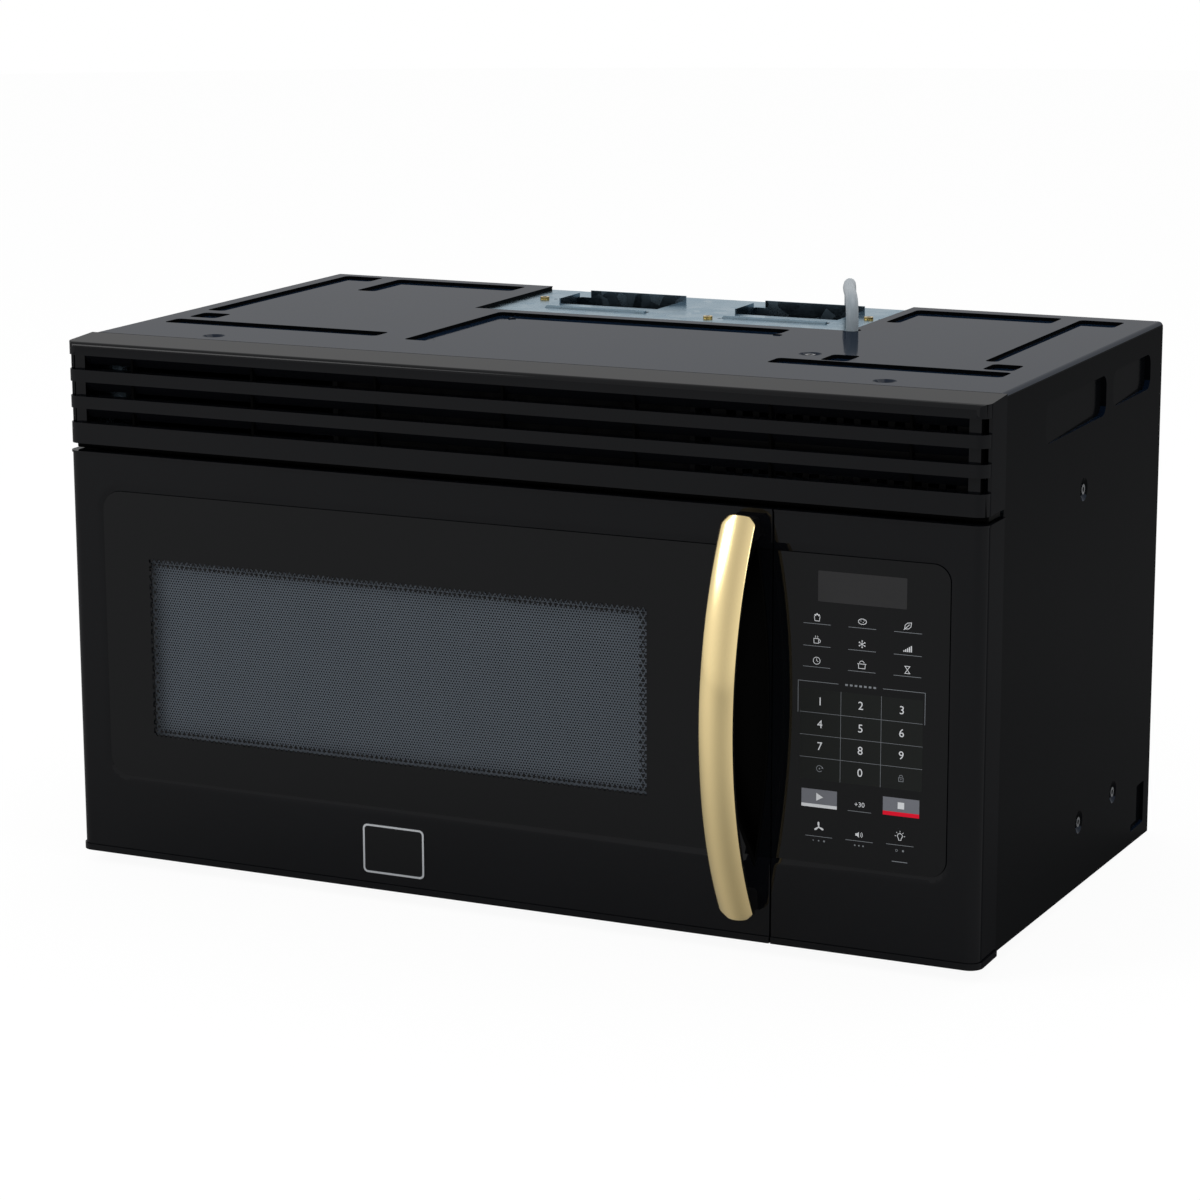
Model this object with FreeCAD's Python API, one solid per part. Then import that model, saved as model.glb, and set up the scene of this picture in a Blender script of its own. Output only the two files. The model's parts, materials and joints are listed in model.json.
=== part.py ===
import FreeCAD, Part
import math
import os

# Over the range microwave oven, in millimetres. The front looks along -Y and +Z is up.
# The model is drawn with Y = 0 at the face of the door, and moved to its origin when it is saved:
# the middle of the footprint, on the surface it stands on.
V = FreeCAD.Vector

# ---- overall sizes --------------------------------------------------------------------------
WIDTH = 759.0                 # across the door, the control panel and the grille
FACE_OVER = 1.5               # door, control panel and grille beyond each side of the case
CASE_DEPTH = 393.8            # front edge of the case to its rear
FRONT_DEPTH = 40.0            # door, control panel and grille, front to back
FRONT_SEAM = 1.2              # fronts to the front frame
BASE_LIFT = 10.0              # underside of the door above the floor
DOOR_HEIGHT = 326.0
PANEL_WIDTH = 160.5
DOOR_GAP = 1.0                # door to control panel
GRILLE_GAP = 6.0              # open line between the door and the grille
GRILLE_HEIGHT = 82.3
CORNER_RADIUS = 9.5           # upright front corners
SHEET = 0.9                   # case, base, back and cavity sheet
WALL = 3.0                    # moulded walls
CLEAR = 0.3                   # general clearance
RUNNING = 0.05                # radial clearance of a pin or shaft

HEIGHT = BASE_LIFT + DOOR_HEIGHT + GRILLE_GAP + GRILLE_HEIGHT
RIGHT = WIDTH / 2
PANEL_LEFT = RIGHT - PANEL_WIDTH
DOOR_RIGHT = PANEL_LEFT - DOOR_GAP
DOOR_TOP = BASE_LIFT + DOOR_HEIGHT
GRILLE_BOTTOM = DOOR_TOP + GRILLE_GAP
CASE_FRONT = FRONT_DEPTH + FRONT_SEAM
CASE_REAR = CASE_FRONT + CASE_DEPTH
CASE_SIDE = RIGHT - FACE_OVER
INSIDE = CASE_SIDE - SHEET    # inner face of the case's sides
TOP_INSIDE = HEIGHT - SHEET
BACK_FRONT = CASE_REAR - SHEET
SPREAD = CASE_SIDE / 378.0    # positions across the top keep their share of the width

# ---- case ---------------------------------------------------------------------------------
CASE_EDGE = 4.0               # bend radius along the top edges
SKIRT_FRONT = 11.5            # lower edge of the sides at the front; it meets the floor at the rear
CHANNEL_DEPTH = 3.0
CHANNEL_RADIUS = 4.5 * SPREAD
DIMPLE_RADIUS = 9.0
DIMPLE_FLOOR = 5.5
DIMPLE_DEPTH = 2.5
SCREW_HOLE = 2.3
SCREW_HEAD = 2.0
SCREW_LENGTH = 7.0
BOLT_HOLE = 3.3               # quarter inch cabinet bolts
BOLT_SPREAD = 560.0
BOLT_Y = 18.8                 # cabinet bolts behind the front edge of the case
NUT_ACROSS = 11.0
NUT_HEIGHT = 6.0
PLATEAU_DEPTH = 0.8
# Channels pressed into the top: x from and to from the middle, y from and to from the rear edge.
TOP_CHANNELS = [
    (-362, -346, -250, -10), (-362, -325, -37, -10),
    (-308, -290, -92, -13), (-308, -184, -43, -13),
    (-357, -163, -325, -302), (-355, -330, -290, -263),
    (-135, -112, -332, -162), (-135, 122, -189, -162),
    (168, 352, -327, -302), (326, 350, -295, -267), (200, 222, -300, -270),
    (175, 187, -92, -15), (175, 299, -47, -15),
    (315, 325, -257, -18), (315, 352, -50, -18),
]
PLATEAU = (-112, 127, -328, -189)
TOP_SCREW = (183.0 * SPREAD, -275.0)
SIDE_SCREWS = [(-202.5, 322.5), (-192.6, 58.0), (-102.7, 59.3)]
# Tapered recesses of the sides: y from and to from the rear edge, z from and to, depth at the rear.
SIDE_RECESSES = [(-300, -151, 372, 403, 4.5), (-133, -32, 375, 403, 4.5)]
CORNER_RECESS = [(-35, -15, 12, 47), (-50, -15, 12, 18)]

# ---- base, back and frame -----------------------------------------------------------------
RIM_LEVEL = 12.0              # floor of the base's rim
PAN_INSET = 14.0
FRAME_SHEET = 1.2
FRAME_BOTTOM = 12.5
VENT_LEFT = -CASE_SIDE + 38.0
VENT_SPLIT = DOOR_RIGHT - 61.0
VENT_BAR = 8.0
VENT_RIGHT = CASE_SIDE - 16.0
VENT_MARGIN = 13.0            # frame left above the vent openings
HOOK_SLOT = (60.0, 8.0)       # slots of the back plate for the wall bracket's hooks
HOOK_SPREAD = 400.0
HOOK_LEVEL = 44.0
FILTER_SIZE = (190.0, 180.0)
FILTER_THICK = 8.0
FILTER_X = CASE_SIDE - 143.0
FILTER_Y = 240.0
FILTER_LIFT = 1.5
FILTER_FRAME = 9.0
COLLAR = 10.0
LENS_SIZE = (190.0, 70.0)
LENS_THICK = 2.4
LENS_LIFT = 1.4
LENS_FRONT = 70.0
LENS_PIN = 1.5
LENS_EAR = 4.0                # middle of each ear outside the lens
FRAME_REAR = CASE_FRONT + FRAME_SHEET

# ---- cavity and turntable -------------------------------------------------------------------
DOOR_LAP = 43.0               # right edge of the door beyond the cavity
CAVITY_HEIGHT = 234.0
CAVITY_DEPTH = 350.0
CAVITY_SIDE_GAP = 32.1        # case to cavity on the left
CAVITY_FLOOR = 66.0
CAVITY_RADIUS = 8.0
TRAY_RADIUS = 160.0
TRAY_FLAT = 150.0
TRAY_THICK = 5.0
TRAY_RIM = 13.0
ROLLER_RADIUS = 6.7
ROLLER_WIDTH = 8.0
ROLLER_PITCH = 97.0           # middle of each roller from the turntable's axis
ROLLER_PIN = 1.8
ROLLERS = 3
RING_INNER = 80.0
RING_OUTER = 87.0
RING_HEIGHT = 6.0
HUB_RADIUS = 11.0
RECESS_RADIUS = 20.0          # drive recess under the middle of the tray
RECESS_DEPTH = 4.5
LOBE_RADIUS = 17.0
LOBE_WIDTH = 8.0
DRIVE_SHAFT = 3.5
MOTOR_RADIUS = 25.0
MOTOR_HEIGHT = 20.0

CAVITY_LEFT = -INSIDE + CAVITY_SIDE_GAP
CAVITY_RIGHT = DOOR_RIGHT - DOOR_LAP
CAVITY_TOP = CAVITY_FLOOR + CAVITY_HEIGHT
CAVITY_REAR = FRAME_REAR + CAVITY_DEPTH
TURN_X = (CAVITY_LEFT + CAVITY_RIGHT) / 2
TURN_Y = FRAME_REAR + CAVITY_DEPTH / 2
ROLLER_LEVEL = CAVITY_FLOOR + ROLLER_RADIUS + CLEAR
TRAY_UNDER = ROLLER_LEVEL + ROLLER_RADIUS + CLEAR
RIM_TOP = CAVITY_FLOOR - SHEET

# ---- door -----------------------------------------------------------------------------------
FRONT_WALL = 6.0
GLASS_THICK = 4.0
GLASS_DROP = 0.8              # glass behind the face of the door
GLASS_BOTTOM = 66.0           # above the underside of the door
GLASS_TOP = 296.0
GLASS_LEFT = 30.1             # in from the left edge
GLASS_RIGHT = 25.8            # in from the right edge of the control panel
GLASS_RADIUS = 16.0
GLASS_LAND = 14.0             # border of the glass that the frame backs
BEVEL = 6.0
BEVEL_DEPTH = 1.6
RIM_HEIGHT = 5.0
RIM_PROUD = 1.2
LIP_HEIGHT = 1.5
LIP_PROUD = 0.8
FRAME_BACK = 36.0             # rear edge of the door frame's walls
SCREEN_FRONT = 8.2
SCREEN_THICK = 0.8
WINDOW_LEFT = 70.5            # window in from the left edge
WINDOW_RIGHT = 99.5           # window in from the right edge
WINDOW_BOTTOM = 101.0         # above the underside of the door
WINDOW_HEIGHT = 143.2
SCREEN_BORDER = 8.0
CHOKE_WALL = 1.5
CHOKE_THICK = 3.6
CHOKE_MARGIN = 26.0           # door panel in from the top and bottom of the door
INNER_RIM = 10.0              # inner wall of the choke out from the window
POCKET_HALF = 124.0           # half height of the finger pocket
POCKET_EDGE = 1.6             # its bulge from the right edge of the door
POCKET_TIP = 12.2             # its tips from the right edge of the door
POCKET_LEFT = 42.0
POCKET_DEPTH = 11.0
POCKET_WALL = 1.2
HANDLE_WIDTH = 26.5
HANDLE_RIGHT = 6.5            # handle in from the right edge of the door
HANDLE_BOTTOM = 20.0          # above the underside of the door
HANDLE_TOP = 323.0
HANDLE_REACH = 60.0           # crown of the handle in front of the door
HANDLE_END = 17.0
HANDLE_THICK = 6.0
HANDLE_EDGE = 2.4
LINER_THICK = 8.0
LINER_INSET = 3.0
POST_HEIGHT = 18.0
BADGE_SIZE = (53.0, 39.0)
BADGE_LEFT = 258.5            # in from the left edge
BADGE_BOTTOM = 13.0           # above the underside of the door
BADGE_THICK = 1.2

# ---- hinges and latch -----------------------------------------------------------------------
HINGE_IN = 8.5                # hinge axis in from the left edge of the door
HINGE_Y = 30.0
HINGE_PIN = 4.0
HINGE_LEAF = 3.0
HINGE_NOTCH = 14.0            # height of the notch at each hinge
HINGE_REACH = 27.5            # notch in from the left edge
HINGE_FRONT = 20.0            # front of the notch
BUSH_DEPTH = 16.0
PIN_LENGTH = 12.0
COLLAR_RADIUS = 7.0
REAR_CHAMFER = 9.0
LATCH_IN = 26.0               # middle of the latch in from the right edge of the door
LATCH_WIDTH = 6.0
LATCH_LOW = 110.0
LATCH_HIGH = 250.0
LATCH_TRAVEL = 5.0
LATCH_BORDER = 6.0            # strip of the frame between the cavity and the opening for the latch
HOOKS = [120.0, 232.0]
HOOK_HEIGHT = 9.0
HOOK_END = 59.0
SPRING_LENGTH = 18.0
SPRING_RADIUS = 3.0

# ---- vent grille ------------------------------------------------------------------------------
LOUVRE_PITCH = 21.0
LOUVRE_FIRST = 16.4           # top of the lowest bar above the bottom of the grille
LOUVRES = 3
SLOT_ZONE = 11.5              # slot and apron between two bars
SLOT_BACK = 8.5               # the slots end here on the rounded sides
GRILLE_WALL = 2.5
GRILLE_SLOPE = 2.5            # fall of the top towards the front
GRILLE_EDGE = 4.0
LEDGE = 11.0
APRON_THICK = 1.8
APRON_DROP = 7.5
APRON_FRONT = 3.4
APRON_BACK = 8.2
COLUMN_IN = 6.5
COLUMN_WIDTH = 9.0
COLUMN_FRONT = 4.0
COLUMN_BACK = 12.5
RIB_PITCH = 107.0
RIB_THICK = 2.0
FLOOR_DEPTH = 38.0
TAB_WIDTH = 14.0

# ---- exhaust plate and blower -----------------------------------------------------------------
PLATE_SHEET = 1.2
PLATE_DROP = 3.0              # plate below the top of the case
PLATE_LAP = 8.0 * SPREAD
CUTOUT_LEFT = -165.0 * SPREAD
CUTOUT_RIGHT = 166.0 * SPREAD
CUTOUT_DEPTH = 149.0
PLATE_CHAMFER = 40.0
OUTLETS = [(-122.0 * SPREAD, -32.0 * SPREAD), (38.0 * SPREAD, 128.0 * SPREAD)]
OUTLET_FRONT = -77.0          # from the rear edge
OUTLET_BACK = -33.0
FLANGE = 6.0
LANCE_HEIGHT = 1.6
PLATE_SCREWS = [(-145.0 * SPREAD, -57.0), (28.0 * SPREAD, -110.0), (150.0 * SPREAD, -63.0)]
WHEEL_RADIUS = 46.0
WHEEL_INNER = 38.0
WHEEL_RING = 1.5
WHEEL_GAP = 5.0
BLADES = 24
BLADE_THICK = 1.0
BLADE_SWEEP = 9.0             # degrees from root to tip
SCROLL_WALL = 1.0
SCROLL_TOP = 49.0
SCROLL_FRONT = 53.0
SCROLL_BOTTOM = 58.0
INLET_RADIUS = 36.0
BLOWER_SHAFT = 4.0
BLOWER_MOTOR = 34.0
WHEEL_TO_OUTLET = 18.0        # front wall of the outlet behind the wheel's axis

# ---- microwave parts --------------------------------------------------------------------------
SHELF_EDGE = 8.0
GUIDE_SIZE = (40.0, 90.0, 50.0)
GUIDE_Y = 205.0
GUIDE_Z = 185.0
MAGNETRON = (84.0, 90.0, 100.0)
FINS = 7
TRANSFORMER = (100.0, 84.0, 86.0)
CAPACITOR = (52.0, 32.0, 100.0)
FAN_RADIUS = 42.0
FAN_HUB = 13.0
FAN_BLADES = 5
FAN_PITCH = 27.0              # degrees
FAN_X = CAVITY_RIGHT + 100.0
FAN_Z = 235.0
FAN_PLATE_Y = -42.0           # from the rear edge
FAN_SHAFT = 2.5

# ---- control panel ------------------------------------------------------------------------------
PANEL_GLASS_RADIUS = 13.0
DISPLAY_SIZE = (68.0, 22.9)
DISPLAY_RIGHT = 58.2          # in from the right edge
DISPLAY_TOP = 284.2           # above the underside
BOARD_FRONT = 20.0
BOARD_THICK = 1.6
BOARD_SIZE = (124.0, 236.0)
BOARD_RIGHT = 18.0
BOARD_BOTTOM = 48.0

# ---- mains lead -----------------------------------------------------------------------------
CORD_RADIUS = 5.0
GLAND_RADIUS = 9.0
GLAND_TIP = 6.5
GLAND_LENGTH = 24.0
GLAND_PLATE = 40.0
GLAND_X = 167.0 * SPREAD
GLAND_Y = -145.0              # from the rear edge
COIL_START = 71.2
COIL_X = 56.0
COIL_Y = 32.0
COIL_RADIUS = 50.0
COIL_GROWTH = 4.5             # added to the radius with each quarter turn
QUARTERS = 4
COIL_TAIL = 25.0
FLOOR_CLEAR = 0.2
PLUG_SIZE = (28.0, 20.0, 20.0)
PLUG_NECK = 22.0
PRONG = 17.0

ORIGIN_Y = (CASE_REAR - HANDLE_REACH) / 2
DOOR_LEFT = -RIGHT


# ---- building blocks ------------------------------------------------------------------------
def at(axis, u, v, w):
    """Point w along an axis, with u and v in the plane square to it, in x, y, z order."""
    return {"x": V(w, u, v), "y": V(u, w, v), "z": V(u, v, w)}[axis]


def box(x0, x1, y0, y1, z0, z1):
    return Part.makeBox(x1 - x0, y1 - y0, z1 - z0, V(x0, y0, z0))


def rod(axis, u, v, low, high, radius):
    return Part.makeCylinder(radius, high - low, at(axis, u, v, low), at(axis, 0, 0, 1))


def sleeve(axis, u, v, low, high, outer, inner):
    return rod(axis, u, v, low, high, outer).cut(rod(axis, u, v, low - 1, high + 1, inner))


def ring(axis, u, v, low, high, outer, inner):
    """Flat ring with as many sides as the blower wheels have blades."""
    hole = prism(axis, polygon(u, v, inner, BLADES), low - 1, high + 1)
    return prism(axis, polygon(u, v, outer, BLADES), low, high).cut(hole)


def rectangle(u0, u1, v0, v1):
    return [(u0, v0), (u1, v0), (u1, v1), (u0, v1)]


def polygon(u, v, radius, sides):
    """Corners of a regular polygon as large as the circle of its radius."""
    tip = radius * math.sqrt(2 * math.pi / sides / math.sin(2 * math.pi / sides))
    return [(u + tip * math.cos(2 * math.pi * k / sides), v + tip * math.sin(2 * math.pi * k / sides))
            for k in range(sides)]


def outline(axis, corners, level, radius=0.0):
    """Closed wire through the corners, each rounded to the radius or to its own of a list."""
    radii = radius if isinstance(radius, list) else [radius] * len(corners)
    arcs = []
    for i, corner in enumerate(corners):
        tip = V(corner[0], corner[1], 0)
        back = (V(*corners[i - 1], 0) - tip).normalize()
        ahead = (V(*corners[(i + 1) % len(corners)], 0) - tip).normalize()
        if radii[i] <= 0:
            arcs.append((tip, None, tip))
            continue
        half = back.getAngle(ahead) / 2
        reach = radii[i] / math.tan(half)
        bisector = (back + ahead).normalize()
        middle = tip + bisector * (radii[i] / math.sin(half) - radii[i])
        arcs.append((tip + back * reach, middle, tip + ahead * reach))
    edges = []
    for i, (start, middle, end) in enumerate(arcs):
        place = [at(axis, p.x, p.y, level) for p in (start, end, arcs[(i + 1) % len(arcs)][0])]
        if middle:
            edges.append(Part.Arc(place[0], at(axis, middle.x, middle.y, level), place[1]).toShape())
        if (place[2] - place[1]).Length > 1e-6:
            edges.append(Part.LineSegment(place[1], place[2]).toShape())
    return Part.Wire(edges)


def prism(axis, corners, low, high, radius=0.0):
    face = Part.Face(outline(axis, corners, low, radius))
    return face.extrude(at(axis, 0, 0, high - low))


def slab(axis, u0, u1, v0, v1, low, high, radius=0.0):
    return prism(axis, rectangle(u0, u1, v0, v1), low, high, radius)


def wire_prism(axis, edges, low, high):
    """Prism of an outline of points and arcs: (u, v) is a corner, (u, v, "arc") an arc's middle."""
    shapes, count, i = [], len(edges), 0
    while i < count:
        here, following = edges[i], edges[(i + 1) % count]
        start = at(axis, here[0], here[1], low)
        if len(following) == 3:
            end = edges[(i + 2) % count]
            middle = at(axis, following[0], following[1], low)
            shapes.append(Part.Arc(start, middle, at(axis, end[0], end[1], low)).toShape())
            i += 2
        else:
            shapes.append(Part.LineSegment(start, at(axis, following[0], following[1], low)).toShape())
            i += 1
    return Part.Face(Part.Wire(shapes)).extrude(at(axis, 0, 0, high - low))


def joined(*shapes):
    return shapes[0].multiFuse(list(shapes[1:])).removeSplitter()


def save(name, *solids):
    """Write one node, a solid or a group of separate solids, in the row's own frame."""
    shape = Part.makeCompound([s for solid in solids for s in solid.Solids])
    shape.translate(V(0, -ORIGIN_Y, 0))
    if not shape.isValid():
        print("not valid:", name)
    shape.exportStep("parts/" + name + ".step")


# ---- case ---------------------------------------------------------------------------------
def pressing(axis, face, side, rect, depth, grow=0.0, radius=CHANNEL_RADIUS):
    """Recess pressed into a face, or with grow the metal around it, whose corners are square."""
    floor = face - side * (depth + grow)
    mouth = face - side * SHEET / 2 if grow else face + side
    low, high = sorted((floor, mouth))
    u0, u1, v0, v1 = rect
    return slab(axis, u0 - grow, u1 + grow, v0 - grow, v1 + grow, low, high, 0.0 if grow else radius)


def dimple(axis, u, v, face, side, grow=0.0):
    """Tapered seat of a screw, or with grow the square of metal around it."""
    if grow:
        half = DIMPLE_RADIUS + grow
        low, high = sorted((face, face - side * (DIMPLE_DEPTH + grow)))
        return slab(axis, u - half, u + half, v - half, v + half, low, high)
    start = at(axis, u, v, face)
    return Part.makeCone(DIMPLE_RADIUS, DIMPLE_FLOOR, DIMPLE_DEPTH, start, at(axis, 0, 0, -side))


def side_recess(side, rect, grow=0.0):
    """Recess of a side that deepens towards the rear and has rounded ends."""
    y0, y1, z0, z1, depth = rect
    front, rear = CASE_REAR + y0 - grow, CASE_REAR + y1 + grow
    face = side * CASE_SIDE
    mouth = face - side * SHEET / 2 if grow else face + side
    shallow = face - side * (0.3 + grow)
    deep = face - side * (depth + grow)
    wedge = prism("z", [(mouth, front), (shallow, front), (deep, rear), (mouth, rear)],
                  z0 - grow, z1 + grow)
    low, high = sorted((mouth, deep))
    ends = slab("x", front, rear, z0 - grow, z1 + grow, low - 1, high + 1, 2 * CHANNEL_RADIUS + grow)
    return wedge.common(ends)


def behind(rect):
    """Rectangle of the top whose x keeps its share of the width, with y given from the rear edge."""
    return (rect[0] * SPREAD, rect[1] * SPREAD, CASE_REAR + rect[2], CASE_REAR + rect[3])


def case_section(inset, low, y0, y1):
    corners = rectangle(-CASE_SIDE + inset, CASE_SIDE - inset, low, HEIGHT - inset)
    bend = CASE_EDGE - inset
    return prism("y", corners, y0, y1, [0, 0, bend, bend])


def cutout(grow=0.0, rear=2.0):
    return (CUTOUT_LEFT - grow, CUTOUT_RIGHT + grow, CASE_REAR - CUTOUT_DEPTH - grow, CASE_REAR + rear)


def outer_case():
    skirt = [(CASE_FRONT, SKIRT_FRONT), (CASE_REAR, 0), (CASE_REAR, HEIGHT), (CASE_FRONT, HEIGHT)]
    shell = case_section(0, -1, CASE_FRONT, CASE_REAR).common(prism("x", skirt, -CASE_SIDE, CASE_SIDE))
    shell = shell.cut(case_section(SHEET, -2, CASE_FRONT - 1, CASE_REAR + 1))
    metal, holes = [], []
    for rect in TOP_CHANNELS:
        metal.append(pressing("z", HEIGHT, 1, behind(rect), CHANNEL_DEPTH, SHEET))
        holes.append(pressing("z", HEIGHT, 1, behind(rect), CHANNEL_DEPTH))
    metal.append(pressing("z", HEIGHT, 1, behind(PLATEAU), PLATEAU_DEPTH, SHEET))
    holes.append(pressing("z", HEIGHT, 1, behind(PLATEAU), PLATEAU_DEPTH))
    for x, y in [(-BOLT_SPREAD / 2, CASE_FRONT + BOLT_Y), (BOLT_SPREAD / 2, CASE_FRONT + BOLT_Y),
                 (TOP_SCREW[0], CASE_REAR + TOP_SCREW[1])]:
        radius = SCREW_HOLE if x == TOP_SCREW[0] else BOLT_HOLE
        metal.append(dimple("z", x, y, HEIGHT, 1, SHEET))
        holes += [dimple("z", x, y, HEIGHT, 1), rod("z", x, y, HEIGHT - 2 * CASE_EDGE, HEIGHT, radius)]
    for side in (-1, 1):
        for rect in SIDE_RECESSES:
            metal.append(side_recess(side, rect, SHEET))
            holes.append(side_recess(side, rect))
        for y, z in SIDE_SCREWS:
            metal.append(dimple("x", CASE_REAR + y, z, side * CASE_SIDE, side, SHEET))
            low, high = sorted((side * (CASE_SIDE - 2 * CASE_EDGE), side * CASE_SIDE))
            holes += [dimple("x", CASE_REAR + y, z, side * CASE_SIDE, side),
                      rod("x", CASE_REAR + y, z, low, high, SCREW_HOLE)]
        for y0, y1, z0, z1 in CORNER_RECESS:
            rect = (CASE_REAR + y0, CASE_REAR + y1, z0, z1)
            metal.append(pressing("x", side * CASE_SIDE, side, rect, CHANNEL_DEPTH, SHEET, 2.0))
            holes.append(pressing("x", side * CASE_SIDE, side, rect, CHANNEL_DEPTH, 0.0, 2.0))
    lip = slab("z", *cutout(SHEET, -SHEET), HEIGHT - PLATE_DROP, HEIGHT - SHEET / 2)
    gland = rod("z", GLAND_X, CASE_REAR + GLAND_Y, HEIGHT - 4 * PLATE_DROP, HEIGHT + 1,
                GLAND_TIP + 2 * CLEAR)
    opening = slab("z", *cutout(), HEIGHT - 2 * PLATE_DROP, HEIGHT + 1)
    return joined(shell, lip, *metal).cut([opening, gland] + holes)


def case_screws():
    """Pan-head screws that sit in the dimples."""
    screws = []
    for side in (-1, 1):
        for y, z in SIDE_SCREWS:
            screws.append(screw("x", CASE_REAR + y, z, side * (CASE_SIDE - DIMPLE_DEPTH), side))
    screws.append(screw("z", TOP_SCREW[0], CASE_REAR + TOP_SCREW[1], HEIGHT - DIMPLE_DEPTH, 1))
    return screws


def screw(axis, u, v, seat, side, head=4.0, shank=2.0):
    """Screw whose head rests on a seat and looks along side."""
    crown, tip = sorted((seat, seat + side * SCREW_HEAD)), sorted((seat, seat - side * SCREW_LENGTH))
    return joined(prism(axis, polygon(u, v, head, 12), *crown), prism(axis, polygon(u, v, shank, 6), *tip))


def cabinet_nuts():
    """Weld nuts under the top that take the bolts from the cabinet above."""
    nuts = []
    seat = HEIGHT - DIMPLE_DEPTH - SHEET
    for side in (-1, 1):
        x, y = side * BOLT_SPREAD / 2, CASE_FRONT + BOLT_Y
        tip = NUT_ACROSS / 2 / math.cos(math.pi / 6)
        corners = [(x + tip * math.cos(k * math.pi / 3), y + tip * math.sin(k * math.pi / 3))
                   for k in range(6)]
        nut = prism("z", corners, seat - NUT_HEIGHT, seat)
        nuts.append(nut.cut(rod("z", x, y, seat - NUT_HEIGHT - 1, seat + 1, BOLT_HOLE)))
    return nuts


def back_plate():
    plate = case_section(SHEET, SHEET, BACK_FRONT, CASE_REAR)
    plate_under = HEIGHT - PLATE_DROP - PLATE_SHEET
    notch = box(CUTOUT_LEFT - PLATE_LAP, CUTOUT_RIGHT + PLATE_LAP, BACK_FRONT - 1, CASE_REAR + 1,
                plate_under, HEIGHT)
    plate = plate.cut(notch)
    metal, holes = [], []
    for x0, x1 in [(-300, -278), (-100, -78), (78, 100), (278, 300)]:
        rect = (x0, x1, CAVITY_FLOOR + 20, CAVITY_TOP)
        metal.append(pressing("y", CASE_REAR, 1, rect, CHANNEL_DEPTH, SHEET))
        holes.append(pressing("y", CASE_REAR, 1, rect, CHANNEL_DEPTH))
    for side in (-1, 1):
        x = side * HOOK_SPREAD / 2
        holes.append(box(x - HOOK_SLOT[0] / 2, x + HOOK_SLOT[0] / 2, BACK_FRONT - 1, CASE_REAR + 1,
                         HOOK_LEVEL - HOOK_SLOT[1] / 2, HOOK_LEVEL + HOOK_SLOT[1] / 2))
    return joined(plate, *metal).cut(holes)


def filter_rect(side, grow=0.0):
    x = side * FILTER_X
    half_x, half_y = FILTER_SIZE[0] / 2 + grow, FILTER_SIZE[1] / 2 + grow
    return (x - half_x, x + half_x, FILTER_Y - half_y, FILTER_Y + half_y)


def lens_rect(grow=0.0):
    return (-LENS_SIZE[0] / 2 - grow, LENS_SIZE[0] / 2 + grow,
            LENS_FRONT - grow, LENS_FRONT + LENS_SIZE[1] + grow)


def base_pan():
    """Base with a stepped-down floor, filter collars, a lamp opening and screwed side flanges."""
    floor = (-INSIDE + PAN_INSET, INSIDE - PAN_INSET, FRAME_REAR + PAN_INSET, BACK_FRONT - PAN_INSET)
    rim = box(-INSIDE, INSIDE, FRAME_REAR, BACK_FRONT, RIM_LEVEL, RIM_TOP)
    pan = slab("z", *floor, 0, RIM_LEVEL + SHEET, 2 * CHANNEL_RADIUS)
    inner = [box(-INSIDE + SHEET, INSIDE - SHEET, FRAME_REAR + SHEET, BACK_FRONT - SHEET,
                 RIM_LEVEL + SHEET, RIM_TOP + 1),
             slab("z", floor[0] + SHEET, floor[1] - SHEET, floor[2] + SHEET, floor[3] - SHEET,
                  SHEET, RIM_LEVEL + 2 * SHEET, 2 * CHANNEL_RADIUS - SHEET)]
    base = joined(rim, pan).cut(inner)
    metal, holes = [], []
    for side in (-1, 1):
        metal.append(slab("z", *filter_rect(side, CLEAR + SHEET), 0, COLLAR))
        holes.append(slab("z", *filter_rect(side, CLEAR), -1, COLLAR + 1))
        for y, z in SIDE_SCREWS[1:]:
            face = side * CASE_SIDE
            metal.append(dimple("x", CASE_REAR + y, z, face, side, 2 * SHEET).common(
                box(-INSIDE, INSIDE, FRAME_REAR, BACK_FRONT, 0, HEIGHT)))
            low, high = sorted((side * (INSIDE - 10), side * INSIDE))
            holes += [dimple("x", CASE_REAR + y, z, face, side, SHEET),
                      rod("x", CASE_REAR + y, z, low, high, SCREW_HOLE)]
    for side in (-1, 1):
        for k in range(5):
            y = FILTER_Y + FILTER_SIZE[1] / 2 + 25 + 12 * k
            holes.append(slab("z", side * FILTER_X - 60, side * FILTER_X + 60, y, y + 5, -1, SHEET + 1, 2.4))
        for y0, y1, z0, z1 in CORNER_RECESS:
            low, high = sorted((side * (CASE_SIDE - CHANNEL_DEPTH - SHEET), side * CASE_SIDE))
            holes.append(box(low, high, CASE_REAR + y0 - SHEET, CASE_REAR + y1 + SHEET, 0, z1 + SHEET))
    for x in (-lens_pin_x(), lens_pin_x()):
        metal.append(box(x - 3, x + 3, lens_axis_y() - 4, lens_axis_y() + 4, 0, lens_axis_z() + 4))
        holes.append(rod("x", lens_axis_y(), lens_axis_z(), x - 4, x + 4, LENS_PIN + RUNNING))
    holes.append(slab("z", *lens_rect(CLEAR), -1, SHEET + 1, 3.0))
    holes.append(box(-lens_pin_x() + 3, lens_pin_x() - 3, LENS_FRONT + LENS_SIZE[1] - 6,
                     lens_axis_y() + 5, -1, SHEET + 1))
    for side in (-1, 1):
        x = side * HOOK_SPREAD / 2
        holes.append(box(x - HOOK_SLOT[0] / 2 - 1, x + HOOK_SLOT[0] / 2 + 1, BACK_FRONT - 2, BACK_FRONT + 1,
                         HOOK_LEVEL - HOOK_SLOT[1] / 2 - 1, HOOK_LEVEL + HOOK_SLOT[1] / 2 + 1))
    return joined(base, *metal).cut(holes)


def lens_axis_y():
    return LENS_FRONT + LENS_SIZE[1] + 5.0


def lens_axis_z():
    return LENS_LIFT + LENS_THICK + 2.0


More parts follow.
